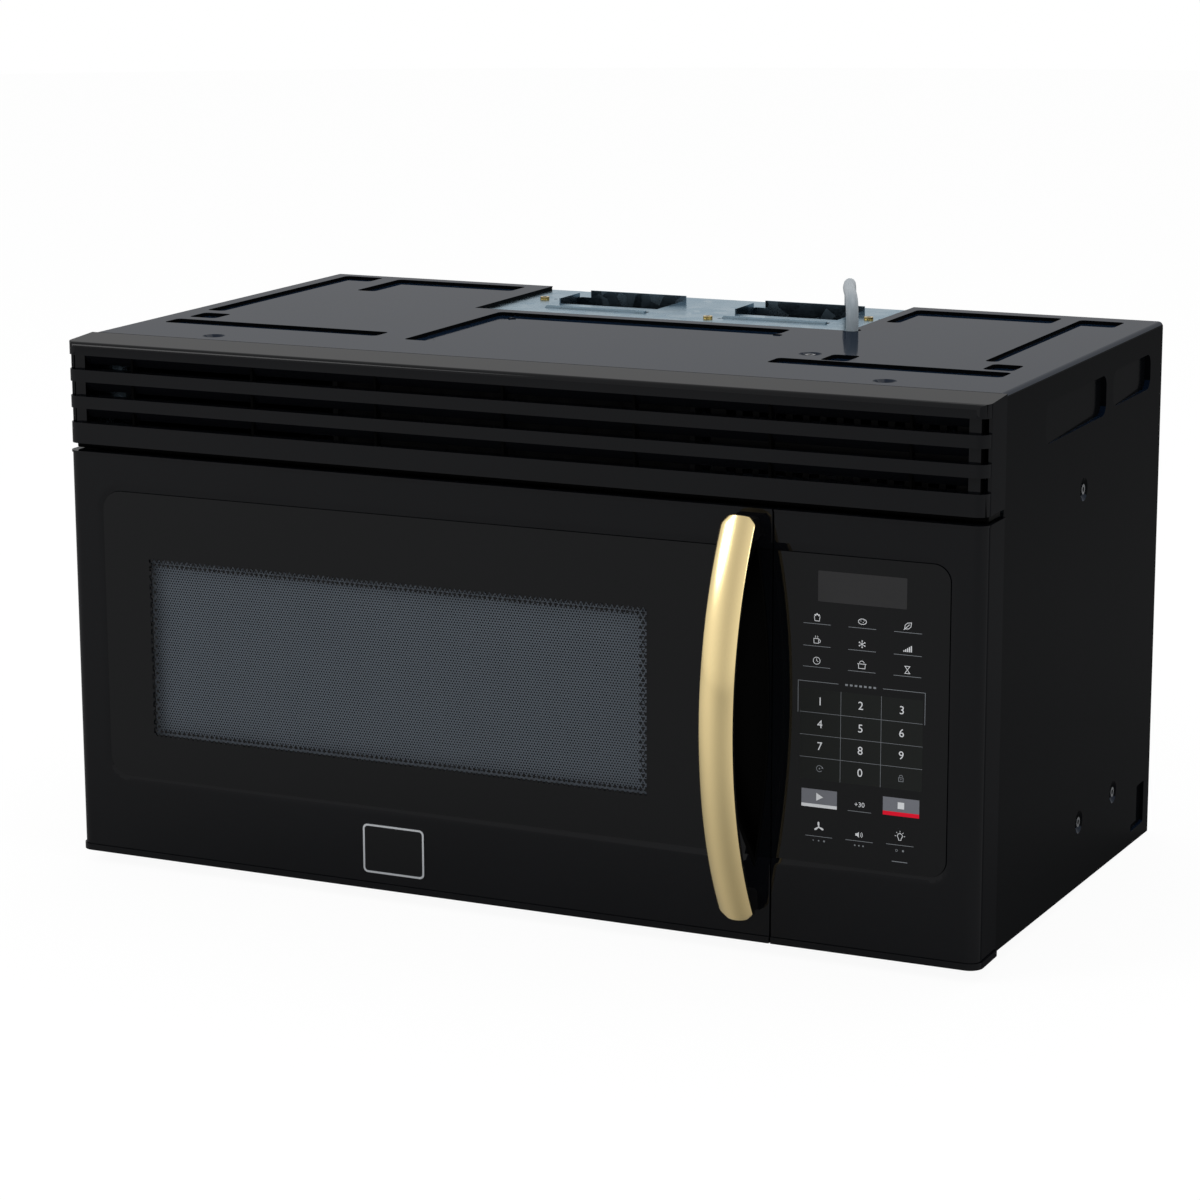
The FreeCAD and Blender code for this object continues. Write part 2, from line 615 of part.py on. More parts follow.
def lens_pin_x():
    return LENS_SIZE[0] / 2 + LENS_EAR


def light_cover():
    """Lens of the cooktop lamps, hung on two pins at its rear edge."""
    x0, x1, y0, y1 = lens_rect()
    lens = slab("z", x0, x1, y0, y1, LENS_LIFT, LENS_LIFT + LENS_THICK, 3.0)
    flutes = [box(x0 + 10, x1 - 10, y0 + 8 + 9 * k, y0 + 11 + 9 * k,
                  LENS_LIFT + LENS_THICK - 0.6, LENS_LIFT + LENS_THICK + 1) for k in range(6)]
    arms = []
    for side in (-1, 1):
        edge = side * (LENS_SIZE[0] / 2 - 2 * CLEAR)
        low, high = sorted((edge, edge - side * 6))
        arms.append(box(low, high, y1 - 4, lens_axis_y() + 2, LENS_LIFT, lens_axis_z() + 2))
        pin = sorted((edge - side * 2, side * (lens_pin_x() + 3)))
        arms.append(rod("x", lens_axis_y(), lens_axis_z(), pin[0], pin[1], LENS_PIN))
    return joined(lens.cut(flutes), *arms)


def cooktop_lamps():
    """Two bulbs in their sockets above the lens, standing on the floor of the base."""
    lamps = []
    for side in (-1, 1):
        x = side * 55.0
        y = LENS_FRONT + LENS_SIZE[1] + 16
        socket = box(x - 14, x + 14, y, y + 26, SHEET, SHEET + 32)
        collar = rod("y", x, SHEET + 20, y - 8, y, 9)
        bulb = rod("y", x, SHEET + 20, y - 40, y - 8, 6.5)
        tip = Part.makeCone(6.5, 3.0, 5.0, V(x, y - 40, SHEET + 20), V(0, -1, 0))
        lamps.append(joined(socket, collar, bulb, tip))
    return lamps


def grease_filter(side):
    x0, x1, y0, y1 = filter_rect(side)
    top = FILTER_LIFT + FILTER_THICK
    frame = slab("z", x0, x1, y0, y1, FILTER_LIFT, top)
    b = FILTER_FRAME
    for low, high in [(FILTER_LIFT - 1, FILTER_LIFT + 2), (top - 2, top + 1)]:
        frame = frame.cut(slab("z", x0 + b, x1 - b, y0 + b, y1 - b, low, high, 3.0))
    pull = slab("z", side * FILTER_X - 12, side * FILTER_X + 12, y0 + b + 4, y0 + b + 16,
                FILTER_LIFT + 0.4, FILTER_LIFT + 3, 4.0)
    hole = slab("z", side * FILTER_X - 8, side * FILTER_X + 8, y0 + b + 7, y0 + b + 12,
                FILTER_LIFT - 1, FILTER_LIFT + 2, 2.0)
    return joined(frame, pull).cut(hole)


def front_frame():
    plate = case_section(SHEET, FRAME_BOTTOM, CASE_FRONT, FRAME_REAR)
    low, high = CASE_FRONT - 1, FRAME_REAR + 1
    vent_low = GRILLE_BOTTOM + 4
    vent_high = HEIGHT - VENT_MARGIN
    holes = [slab("y", CAVITY_LEFT, CAVITY_RIGHT, CAVITY_FLOOR, CAVITY_TOP, low, high, cavity_corners()),
             slab("y", VENT_LEFT, VENT_SPLIT, vent_low, vent_high, low, high, 5),
             slab("y", VENT_SPLIT + VENT_BAR, VENT_RIGHT, vent_low, vent_high, low, high, 5),
             slab("y", CAVITY_RIGHT + LATCH_BORDER, RIGHT - 50, HOOKS[0] - 30, HOOKS[1] + 58, low, high, 5)]
    return plate.cut(holes)


# ---- cavity and turntable -------------------------------------------------------------------
def guide_rect(grow=0.0):
    return (GUIDE_Y - GUIDE_SIZE[1] / 2 - grow, GUIDE_Y + GUIDE_SIZE[1] / 2 + grow,
            GUIDE_Z - grow, GUIDE_Z + GUIDE_SIZE[2] + grow)


def cavity_corners(grow=0.0):
    """Corner radii of the oven's section: square at the floor, rounded at the roof."""
    return [0.0, 0.0, CAVITY_RADIUS + grow, CAVITY_RADIUS + grow]


def cavity_box():
    """Wrapped walls and roof of the oven, welded round a flat floor."""
    outer = slab("y", CAVITY_LEFT - SHEET, CAVITY_RIGHT + SHEET, CAVITY_FLOOR - SHEET,
                 CAVITY_TOP + SHEET, FRAME_REAR, CAVITY_REAR + SHEET, cavity_corners(SHEET))
    inner = slab("y", CAVITY_LEFT, CAVITY_RIGHT, CAVITY_FLOOR - 2, CAVITY_TOP,
                 FRAME_REAR - 1, CAVITY_REAR, cavity_corners())
    floor = box(CAVITY_LEFT - SHEET, CAVITY_RIGHT + SHEET, FRAME_REAR, CAVITY_REAR + SHEET,
                CAVITY_FLOOR - SHEET, CAVITY_FLOOR)
    shaft_hole = rod("z", TURN_X, TURN_Y, CAVITY_FLOOR - 2, CAVITY_FLOOR + 1, DRIVE_SHAFT + 2)
    holes = [slab("x", *guide_rect(-8), CAVITY_RIGHT - 1, CAVITY_RIGHT + 2, 2.0)]
    for k in range(6):
        z = CAVITY_TOP - 40 + 5 * k
        holes.append(slab("x", 70, 95, z, z + 2.5, CAVITY_RIGHT - 1, CAVITY_RIGHT + 2))
        holes.append(slab("x", 300, 350, z, z + 2.5, CAVITY_LEFT - 2, CAVITY_LEFT + 1))
    return [outer.cut([inner, floor] + holes), floor.cut(shaft_hole)]


def turntable_motor():
    top = CAVITY_FLOOR - SHEET
    body = rod("z", TURN_X, TURN_Y, top - MOTOR_HEIGHT, top, MOTOR_RADIUS)
    ears = slab("z", TURN_X - MOTOR_RADIUS - 9, TURN_X + MOTOR_RADIUS + 9, TURN_Y - 6, TURN_Y + 6,
                top - 2, top, 5.0)
    shaft = rod("z", TURN_X, TURN_Y, top - 1, CAVITY_FLOOR + 9, DRIVE_SHAFT)
    terminals = box(TURN_X - 12, TURN_X + 12, TURN_Y + MOTOR_RADIUS - 4, TURN_Y + MOTOR_RADIUS + 8,
                    top - MOTOR_HEIGHT + 3, top - MOTOR_HEIGHT + 11)
    return joined(body, ears, shaft, terminals)


def drive_coupler():
    low, high = CAVITY_FLOOR + 1, TRAY_UNDER + RECESS_DEPTH - CLEAR
    hub = rod("z", TURN_X, TURN_Y, low, high, HUB_RADIUS)
    lobes = []
    for k in range(3):
        lobe = slab("z", 0, LOBE_RADIUS, -LOBE_WIDTH / 2, LOBE_WIDTH / 2, low + 4, high, 0)
        lobe.rotate(V(0, 0, 0), V(0, 0, 1), 120 * k)
        lobe.translate(V(TURN_X, TURN_Y, 0))
        lobes.append(lobe)
    bore = rod("z", TURN_X, TURN_Y, low - 1, CAVITY_FLOOR + 9 + CLEAR, DRIVE_SHAFT + RUNNING)
    return joined(hub, *lobes).cut(bore)


def glass_tray():
    """Turned tray with a raised rim, and a recess whose three lugs stand between the coupler's lobes."""
    under, t = TRAY_UNDER, TRAY_THICK
    rim = TRAY_RADIUS - TRAY_FLAT
    corners = [(0, under), (TRAY_FLAT, under), (TRAY_RADIUS, under + TRAY_RIM - 2),
               (TRAY_RADIUS, under + TRAY_RIM), (TRAY_RADIUS - rim / 2, under + TRAY_RIM),
               (TRAY_FLAT - 3, under + t), (RECESS_RADIUS + 10, under + t),
               (RECESS_RADIUS + 4, under + t + RECESS_DEPTH), (0, under + t + RECESS_DEPTH)]
    face = Part.Face(outline("y", corners, 0))
    tray = face.revolve(V(0, 0, 0), V(0, 0, 1), 360)
    tray = tray.cut(rod("z", 0, 0, under - 1, under + RECESS_DEPTH, RECESS_RADIUS))
    lugs = []
    for k in range(3):
        lug = slab("z", HUB_RADIUS + 1.5, RECESS_RADIUS + 1, -3, 3, under, under + RECESS_DEPTH + 1)
        lug.rotate(V(0, 0, 0), V(0, 0, 1), 120 * k + 60)
        lugs.append(lug)
    tray = joined(tray, *lugs)
    tray.translate(V(TURN_X, TURN_Y, 0))
    return tray


def roller_ring():
    low, high = ROLLER_LEVEL - RING_HEIGHT / 2, ROLLER_LEVEL + RING_HEIGHT / 2
    ring = sleeve("z", 0, 0, low, high, RING_OUTER, RING_INNER)
    arms = []
    for k in range(ROLLERS):
        pin = rod("x", 0, ROLLER_LEVEL, RING_OUTER - 2, ROLLER_PITCH + ROLLER_WIDTH / 2 + 1.5, ROLLER_PIN)
        stop = rod("x", 0, ROLLER_LEVEL, ROLLER_PITCH + ROLLER_WIDTH / 2 + CLEAR,
                   ROLLER_PITCH + ROLLER_WIDTH / 2 + 2, ROLLER_PIN + 1.2)
        for piece in (pin, stop):
            piece.rotate(V(0, 0, 0), V(0, 0, 1), roller_angle(k))
            arms.append(piece)
    ring = joined(ring, *arms)
    ring.translate(V(TURN_X, TURN_Y, 0))
    return ring


def roller_angle(k):
    return 90 + 360 / ROLLERS * k


def roller(k):
    wheel = sleeve("x", 0, ROLLER_LEVEL, ROLLER_PITCH - ROLLER_WIDTH / 2, ROLLER_PITCH + ROLLER_WIDTH / 2,
                   ROLLER_RADIUS, ROLLER_PIN + RUNNING)
    wheel.rotate(V(0, 0, 0), V(0, 0, 1), roller_angle(k))
    wheel.translate(V(TURN_X, TURN_Y, 0))
    return wheel


# ---- microwave parts --------------------------------------------------------------------------
def component_shelf():
    shelf = box(CAVITY_RIGHT + SHEET, INSIDE - SHELF_EDGE, FRAME_REAR, BACK_FRONT,
                CAVITY_FLOOR - SHEET, CAVITY_FLOOR)
    slots = [slab("z", CAVITY_RIGHT + 30, CAVITY_RIGHT + 110, y, y + 5,
                  CAVITY_FLOOR - 2, CAVITY_FLOOR + 1, 2.4) for y in (320, 332, 344)]
    return shelf.cut(slots)


def waveguide():
    x0, x1 = CAVITY_RIGHT + SHEET, CAVITY_RIGHT + SHEET + GUIDE_SIZE[0]
    y0, y1, z0, z1 = guide_rect()
    duct = box(x0, x1, y0, y1, z0, z1)
    duct = duct.cut(box(x0 - 1, x1 - 1.2, y0 + 1.2, y1 - 1.2, z0 + 1.2, z1 - 1.2))
    flange = box(x0, x0 + 1.2, y0 - 7, y1 + 7, z0 - 7, z1 + 7)
    flange = flange.cut(box(x0 - 1, x0 + 2, y0 + 1.2, y1 - 1.2, z0 + 1.2, z1 - 1.2))
    return joined(duct, flange)


def waveguide_cover():
    y0, y1, z0, z1 = guide_rect(4.0)
    return slab("x", y0, y1, z0, z1, CAVITY_RIGHT - 0.8, CAVITY_RIGHT, 5.0)


def magnetron():
    x0 = CAVITY_RIGHT + SHEET + GUIDE_SIZE[0]
    wide, deep, high = MAGNETRON
    z0 = GUIDE_Z - 20
    y0, y1 = GUIDE_Y - deep / 2, GUIDE_Y + deep / 2
    plates = [box(x0, x0 + wide, y0, y1, z0, z0 + 2), box(x0, x0 + wide, y0, y1, z0 + high - 2, z0 + high),
              box(x0, x0 + 2, y0, y1, z0, z0 + high)]
    core = prism("z", polygon(x0 + wide / 2, GUIDE_Y, 19, 16), z0 + 1, z0 + high - 1)
    fins = [box(x0 + 8, x0 + wide - 4, y0 + 4, y1 - 4, z0 + 14 + 11 * k, z0 + 15 + 11 * k)
            for k in range(FINS)]
    stem = box(x0 + wide / 2 - 22, x0 + wide / 2 + 22, GUIDE_Y - 22, GUIDE_Y + 22, z0 - 22, z0 + 1)
    return joined(*plates, core, stem, *fins)


def transformer():
    wide, deep, high = TRANSFORMER
    x0 = CAVITY_RIGHT + 60
    y0 = FRAME_REAR + 30
    z0 = CAVITY_FLOOR
    core = box(x0, x0 + wide, y0, y0 + deep, z0, z0 + high)
    window = slab("y", x0 + 14, x0 + wide - 14, z0 + 16, z0 + high - 16, y0 - 8, y0 + deep + 8, 6.0)
    foot = box(x0 - 8, x0 + wide + 8, y0 + deep / 2 - 12, y0 + deep / 2 + 12, z0, z0 + 2)
    return joined(core, window, foot)


def capacitor():
    wide, deep, high = CAPACITOR
    x0, y0, z0 = CAVITY_RIGHT + 70, FRAME_REAR + 222, CAVITY_FLOOR
    can = slab("z", x0, x0 + wide, y0, y0 + deep, z0, z0 + high, deep / 2 - 0.5)
    tabs = [box(x0 + wide * s - 3, x0 + wide * s + 3, y0 + deep / 2 - 1, y0 + deep / 2 + 1,
                z0 + high - 1, z0 + high + 10) for s in (0.3, 0.7)]
    strap = box(x0 - 8, x0 + wide + 8, y0 + deep / 2 - 8, y0 + deep / 2 + 8, z0, z0 + 2)
    return joined(can, strap, *tabs)


def fan_y():
    return CASE_REAR + FAN_PLATE_Y


def cooling_fan_shroud():
    y = fan_y()
    plate = box(CAVITY_RIGHT + SHEET + 4, INSIDE - 8, y, y + 2, CAVITY_FLOOR, FAN_Z + 60)
    collar = rod("y", FAN_X, FAN_Z, y - 14, y + 2, FAN_RADIUS + 5)
    return joined(plate, collar).cut(rod("y", FAN_X, FAN_Z, y - 15, y + 3, FAN_RADIUS + 3))


def cooling_fan_motor():
    y = fan_y() + 2
    body = box(FAN_X - 26, FAN_X + 26, y + 10, y + 30, FAN_Z - 20, FAN_Z + 26)
    arms = []
    for side in (-1, 1):
        arms.append(box(FAN_X + side * 50 - 5, FAN_X + side * 50 + 5, y, y + 16, FAN_Z - 5, FAN_Z + 5))
        low, high = sorted((side * 22, side * 52))
        arms.append(box(FAN_X + low, FAN_X + high, y + 12, y + 16, FAN_Z - 5, FAN_Z + 5))
    shaft = rod("y", FAN_X, FAN_Z, fan_y() - 11 + CLEAR, y + 11, FAN_SHAFT)
    return joined(body, shaft, *arms)


def cooling_fan_blade():
    """Axial fan: a hub and flat pitched blades that widen towards the tip."""
    front, back = fan_y() - 13, fan_y() + 1
    hub = rod("y", 0, 0, front, back, FAN_HUB).cut(
        rod("y", 0, 0, front + 2, back + 1, FAN_SHAFT + RUNNING))
    blades, pitch = [], math.radians(FAN_PITCH)
    for k in range(FAN_BLADES):
        sections = []
        for reach, chord in [(FAN_HUB - 2, 14), (FAN_RADIUS, 26)]:
            along = V(chord / 2 * math.cos(pitch), chord / 2 * math.sin(pitch), 0)
            thick = V(-math.sin(pitch), math.cos(pitch), 0) * 0.5
            middle = (front + back) / 2
            corners = [along + thick, along * -1 + thick, along * -1 - thick, along - thick]
            ring = [V(c.x, middle + c.y, reach) for c in corners]
            sections.append(Part.makePolygon(ring + ring[:1]))
        blade = Part.makeLoft(sections, True, True)
        blade.rotate(V(0, 0, 0), V(0, 1, 0), 360 / FAN_BLADES * k)
        blades.append(blade)
    fan = joined(hub, *blades)
    fan.translate(V(FAN_X, 0, FAN_Z))
    return fan


def cavity_lamp():
    """Lamp of the cavity behind its perforated wall."""
    x0 = CAVITY_RIGHT + SHEET
    z = CAVITY_TOP - 28
    bracket = box(x0, x0 + 1.2, 60, 105, z - 22, z + 22).cut(box(x0 - 1, x0 + 2, 68, 97, z - 14, z + 14))
    socket = box(x0 + 1.2, x0 + 26, 97, 113, z - 9, z + 9)
    bulb = rod("y", x0 + 14, z, 74, 98, 7.5)
    return joined(bracket, socket, bulb, Part.makeCone(7.5, 3.5, 6.0, V(x0 + 14, 74, z), V(0, -1, 0)))


def interlock_bracket():
    """Moulded latch board behind the frame's opening, with guides for the hooks and the switches."""
    x = DOOR_RIGHT - LATCH_IN
    low, high = HOOKS[0] - 30, HOOKS[1] + 30
    board = box(x - 10, x + 12, FRAME_REAR, FRAME_REAR + 34, low, high)
    feet = [box(x - 10, x + 12, FRAME_REAR, FRAME_REAR + 4, low - 12, low + 1),
            box(x - 12, x - 9, FRAME_REAR, FRAME_REAR + 20, low, high)]
    core = box(x - 7.5, x + 7.5, FRAME_REAR - 1, FRAME_REAR + 31, low + 4, high - 4)
    rib = box(x - 8, x + 8, FRAME_REAR + 4, FRAME_REAR + 33, (low + high) / 2 - 2, (low + high) / 2 + 2)
    sills = [box(x - 8, x + 8, FRAME_REAR + 6, FRAME_REAR + 12, z - HOOK_HEIGHT / 2 - 8,
                 z - HOOK_HEIGHT / 2 - 5) for z in HOOKS]
    return joined(board.cut(core), rib, *sills, *feet)


def interlock_switches():
    """Three snap-action switches on the outer side of the latch board."""
    x = DOOR_RIGHT - LATCH_IN + 12
    switches = []
    for z in (HOOKS[0] - 12, HOOKS[0] + 18, HOOKS[1]):
        body = box(x, x + 10, FRAME_REAR + 6, FRAME_REAR + 34, z - 8, z + 8)
        tabs = [box(x + 4, x + 5, FRAME_REAR + 33, FRAME_REAR + 42, z + s - 3, z + s + 3) for s in (-4, 4)]
        switches.append(joined(body, *tabs))
    return switches


# ---- vent blower ----------------------------------------------------------------------------
def wheel_y():
    return CASE_REAR + OUTLET_FRONT - WHEEL_TO_OUTLET


def wheel_z():
    return CAVITY_TOP + SHEET + SCROLL_WALL + SCROLL_BOTTOM + 2.0


def scroll(grow, low, high, top):
    """Scroll of a blower, whose wall opens from the tongue round to the outlet."""
    y, z = wheel_y(), wheel_z()
    rear = CASE_REAR + OUTLET_BACK + grow
    tongue = CASE_REAR + OUTLET_FRONT - grow
    r_top, r_front, r_bottom = (SCROLL_TOP + grow, SCROLL_FRONT + grow, SCROLL_BOTTOM + grow)
    c = math.sqrt(0.5)
    bottom_mid = (rear - y + r_bottom) / 2
    front_mid = (r_bottom + r_front) / 2
    top_mid = (r_front + r_top) / 2
    return wire_prism("x", [
        (rear, top), (rear, z),
        (y + bottom_mid * c, z - bottom_mid * c, "arc"), (y, z - r_bottom),
        (y - front_mid * c, z - front_mid * c, "arc"), (y - r_front, z),
        (y - top_mid * c, z + top_mid * c, "arc"), (y, z + r_top),
        (tongue, z + r_top - 2), (tongue, top)], low, high)


def blower_housings():
    """A scroll housing under each outlet of the exhaust plate."""
    top = HEIGHT - PLATE_DROP - PLATE_SHEET
    housings = []
    for x0, x1 in OUTLETS:
        body = scroll(SCROLL_WALL, x0 - SCROLL_WALL, x1 + SCROLL_WALL, top)
        body = body.cut([scroll(0, x0, x1, top + 1),
                         rod("x", wheel_y(), wheel_z(), x0 - 3, x1 + 3, INLET_RADIUS)])
        housings.append(body)
    return housings


def blower_motor():
    """Motor between the housings, on two rings with arms."""
    x0, x1 = OUTLETS[0][1] + SCROLL_WALL, OUTLETS[1][0] - SCROLL_WALL
    y, z = wheel_y(), wheel_z()
    body = prism("x", polygon(y, z, BLOWER_MOTOR, BLADES), x0 + 10, x1 - 10)
    boss = prism("x", polygon(y, z, 12, 12), x0 + 2, x1 - 2)
    rings = [ring("x", y, z, low, low + 2, INLET_RADIUS + 8, INLET_RADIUS + 1) for low in (x0, x1 - 2)]
    arms = []
    for k in range(3):
        arm = box(x0, x1, -4, 4, BLOWER_MOTOR - 3, INLET_RADIUS + 7)
        arm.rotate(V(0, 0, 0), V(1, 0, 0), 120 * k)
        arm.translate(V(0, y, z))
        arms.append(arm)
    bore = rod("x", y, z, x0 - 1, x1 + 1, BLOWER_SHAFT + RUNNING)
    return joined(body, boss, *rings, *arms).cut(bore)


def blower_shaft():
    return rod("x", wheel_y(), wheel_z(), OUTLETS[0][0] + WHEEL_GAP, OUTLETS[1][1] - WHEEL_GAP, BLOWER_SHAFT)


def blower_wheel(x0, x1):
    """Squirrel-cage wheel: forward-curved blades between two rings, with a web in the middle."""
    low, high = x0 + WHEEL_GAP, x1 - WHEEL_GAP
    middle = (low + high) / 2
    rings = [ring("x", 0, 0, s, s + WHEEL_RING, WHEEL_RADIUS - 0.3, WHEEL_INNER + 4)
             for s in (low, high - WHEEL_RING)]
    web = prism("x", polygon(0, 0, WHEEL_RADIUS - 2, BLADES), middle - 0.8, middle + 0.8)
    hub = prism("x", polygon(0, 0, 9, 12), middle - 9, middle + 9)
    root, tip = WHEEL_INNER, WHEEL_RADIUS - 0.4
    sweep = math.radians(BLADE_SWEEP)
    blades = []
    for k in range(BLADES):
        corners = [(0, root), (tip * math.sin(sweep), tip * math.cos(sweep)),
                   (tip * math.sin(sweep) + BLADE_THICK, tip * math.cos(sweep) - 0.3),
                   (BLADE_THICK, root)]
        blade = prism("x", corners, low, high)
        blade.rotate(V(0, 0, 0), V(1, 0, 0), 360 / BLADES * k)
        blades.append(blade)
    wheel = joined(web, hub, *rings, *blades).cut(rod("x", 0, 0, low - 1, high + 1, BLOWER_SHAFT))
    wheel.translate(V(0, wheel_y(), wheel_z()))
    return wheel


# ---- exhaust plate --------------------------------------------------------------------------
def exhaust_plate():
    """Galvanised plate with two outlets, their upturned flanges and two lanced slots."""
    top = HEIGHT - PLATE_DROP
    x0, x1, y0, y1 = cutout(PLATE_LAP, 0)
    corners = [(x0, y0), (x1 - PLATE_CHAMFER, y0), (x1, y0 + PLATE_CHAMFER), (x1, y1), (x0, y1)]
    plate = prism("z", corners, top - PLATE_SHEET, top)
    front, back = CASE_REAR + OUTLET_FRONT, CASE_REAR + OUTLET_BACK
    extra, holes = [], []
    for low, high in OUTLETS:
        holes.append(box(low, high, front, back, top - 2 * PLATE_SHEET, top + 1))
        extra.append(box(low + 9, high + 7, back, back + PLATE_SHEET, top - PLATE_SHEET, top + FLANGE))
        extra.append(box(low - PLATE_SHEET, low, front + 3, back - 3, top - PLATE_SHEET, top + FLANGE - 2))
        lance = [(front - 30, top - PLATE_SHEET / 2), (front - 24, top + LANCE_HEIGHT),
                 (front - 22, top + LANCE_HEIGHT), (front - 18, top - PLATE_SHEET / 2)]
        extra.append(prism("x", lance, low, high))
        holes.append(box(low + 2, high + 1, front - 23, front - 17, top - PLATE_SHEET, top + LANCE_HEIGHT - 0.6))
    for x, y in PLATE_SCREWS:
        holes.append(rod("z", x, CASE_REAR + y, top - 3, top + 1, SCREW_HOLE))
        holes.append(rod("z", x + 9, CASE_REAR + y + 3, top - 3, top + 1, 1.6))
    return joined(plate, *extra).cut(holes)


def exhaust_screws():
    top = HEIGHT - PLATE_DROP
    return [screw("z", x, CASE_REAR + y, top, 1, 3.8, 2.0) for x, y in PLATE_SCREWS]


# ---- vent grille ----------------------------------------------------------------------------
def grille_block(inset):
    """Outer form of the grille, or with an inset its inside."""
    back = FRONT_DEPTH + (1 if inset else 0)
    bottom = GRILLE_BOTTOM - (1 if inset else 0)
    side = RIGHT - inset
    front_top = HEIGHT - GRILLE_SLOPE - inset
    profile = [(inset, bottom), (back, bottom), (back, HEIGHT - inset), (inset, front_top)]
    edge = max(GRILLE_EDGE - inset, 0.5)
    body = prism("x", profile, -side, side, [0, 0, 0, edge])
    corner = CORNER_RADIUS - inset
    plan = prism("z", rectangle(-side, side, inset, back + 1), bottom - 1, HEIGHT + 1,
                 [corner, corner, 0, 0])
    return body.common(plan)


def vent_grille():
    """Moulded grille: bars that wrap the corners, each with a ledge and a set-back apron."""
    shell = grille_block(0).cut(grille_block(GRILLE_WALL))
    zones, fitted = [], []
    reach = RIGHT - COLUMN_IN
    for k in range(LOUVRES):
        low = GRILLE_BOTTOM + LOUVRE_FIRST + LOUVRE_PITCH * k
        zones.append(box(-RIGHT - 1, RIGHT + 1, -1, SLOT_BACK, low, low + SLOT_ZONE))
        bar = low + SLOT_ZONE
        fitted.append(box(-reach, reach, 1, LEDGE, low - APRON_THICK, low))
        apron = [(APRON_FRONT, bar + 1), (APRON_BACK, bar - APRON_DROP),
                 (APRON_BACK + APRON_THICK, bar - APRON_DROP), (APRON_FRONT + APRON_THICK, bar + 1)]
        fitted.append(prism("x", apron, -reach, reach))
    top = HEIGHT - GRILLE_SLOPE - 1
    for side in (-1, 1):
        x0, x1 = sorted((side * reach, side * (reach - COLUMN_WIDTH)))
        fitted.append(box(x0, x1, COLUMN_FRONT, COLUMN_BACK, GRILLE_BOTTOM, top))
    count = int(reach / RIB_PITCH)
    for k in range(-count, count + 1):
        x = RIB_PITCH * k
        fitted.append(box(x - RIB_THICK / 2, x + RIB_THICK / 2, COLUMN_FRONT, LEDGE, GRILLE_BOTTOM, top))
    floor = box(-RIGHT + 1, RIGHT - 1, LEDGE - 5, FLOOR_DEPTH, GRILLE_BOTTOM, GRILLE_BOTTOM + GRILLE_WALL)
    lower = box(-reach, reach, 1, LEDGE, GRILLE_BOTTOM, GRILLE_BOTTOM + GRILLE_WALL)
    tabs = []
    for side in (-1, 1):
        for x in (RIGHT - 24, RIGHT - 260):
            low, high = sorted((side * x, side * (x - TAB_WIDTH)))
            tabs.append(box(low, high, FLOOR_DEPTH - 6, CASE_FRONT, HEIGHT - VENT_MARGIN + 2, HEIGHT - 2.2))
    return joined(shell.cut(zones), floor, lower, *fitted, *tabs)


def charcoal_filter():
    """Framed filter with upright pleats, standing on the grille's floor."""
    x0, x1 = -150.0, 150.0
    y0, y1 = COLUMN_BACK + 4, FLOOR_DEPTH - 8
    z0, z1 = GRILLE_BOTTOM + GRILLE_WALL, HEIGHT - GRILLE_SLOPE - GRILLE_WALL - 5
    frame = box(x0, x1, y0, y1, z0, z1).cut(box(x0 + 4, x1 - 4, y0 - 1, y1 + 1, z0 + 4, z1 - 4))
    count = 20
    step = (x1 - x0 - 6) / count
    front = [(x0 + 3 + step * k, y0 + (2 if k % 2 else y1 - y0 - 5)) for k in range(count + 1)]
    pleats = prism("z", front + [(x, y + 2.5) for x, y in reversed(front)], z0 + 2, z1 - 2)
    return joined(frame, pleats)


def vent_screen():
    """Perforated guard behind the right part of the grille."""
    x0, x1 = 160.0, RIGHT - 12
    y = COLUMN_BACK + 10
    z0, z1 = GRILLE_BOTTOM + GRILLE_WALL, HEIGHT - GRILLE_SLOPE - GRILLE_WALL - 4
    plate = box(x0, x1, y, y + 0.8, z0, z1)
    holes = []
    for row in range(2):
        z = z0 + 12 + 30 * row
        holes += [box(x0 + 12 + 13 * k, x0 + 20 + 13 * k, y - 1, y + 2, z, z + 20) for k in range(14)]
    return plate.cut(holes)


# ---- door -----------------------------------------------------------------------------------
def fronted(x0, x1, y0, y1, z0, z1, left, right, proud=0.0):
    """Block of a front, with rounded upright front corners where left or right says so."""
    a = CORNER_RADIUS + proud
    xa, xb = (x0 - proud if left else x0), (x1 + proud if right else x1)
    return prism("z", rectangle(xa, xb, y0 - proud, y1), z0, z1,
                 [a if left else 0.6, a if right else 0.6, 0, 0])


def glass_edges():
    """Left, right, bottom and top of the black glass that runs over door and control panel."""
    return (DOOR_LEFT + GLASS_LEFT, RIGHT - GLASS_RIGHT, BASE_LIFT + GLASS_BOTTOM, BASE_LIFT + GLASS_TOP)


def bevelled_recess(x0, x1, z0, z1, radius):
    """Sloping border that leads down to the glass."""
    wide = outline("y", rectangle(x0 - BEVEL, x1 + BEVEL, z0 - BEVEL, z1 + BEVEL), 0, radius + BEVEL)
    narrow = outline("y", rectangle(x0, x1, z0, z1), BEVEL_DEPTH, radius)
    return Part.makeLoft([wide, narrow], True, True)


def lens_shape(inset, low, high):
    """Finger pocket outline: two arcs that meet in an upper and a lower tip."""
    x = DOOR_RIGHT - POCKET_TIP
    middle = BASE_LIFT + (GLASS_BOTTOM + GLASS_TOP) / 2
    half = POCKET_HALF - 6 * inset
    right, left = DOOR_RIGHT - POCKET_EDGE - inset, DOOR_RIGHT - POCKET_LEFT + inset
    return wire_prism("y", [(x, middle - half), (right, middle, "arc"), (x, middle + half),
                            (left, middle, "arc")], low, high)


def hinge_x():
    return DOOR_LEFT + HINGE_IN


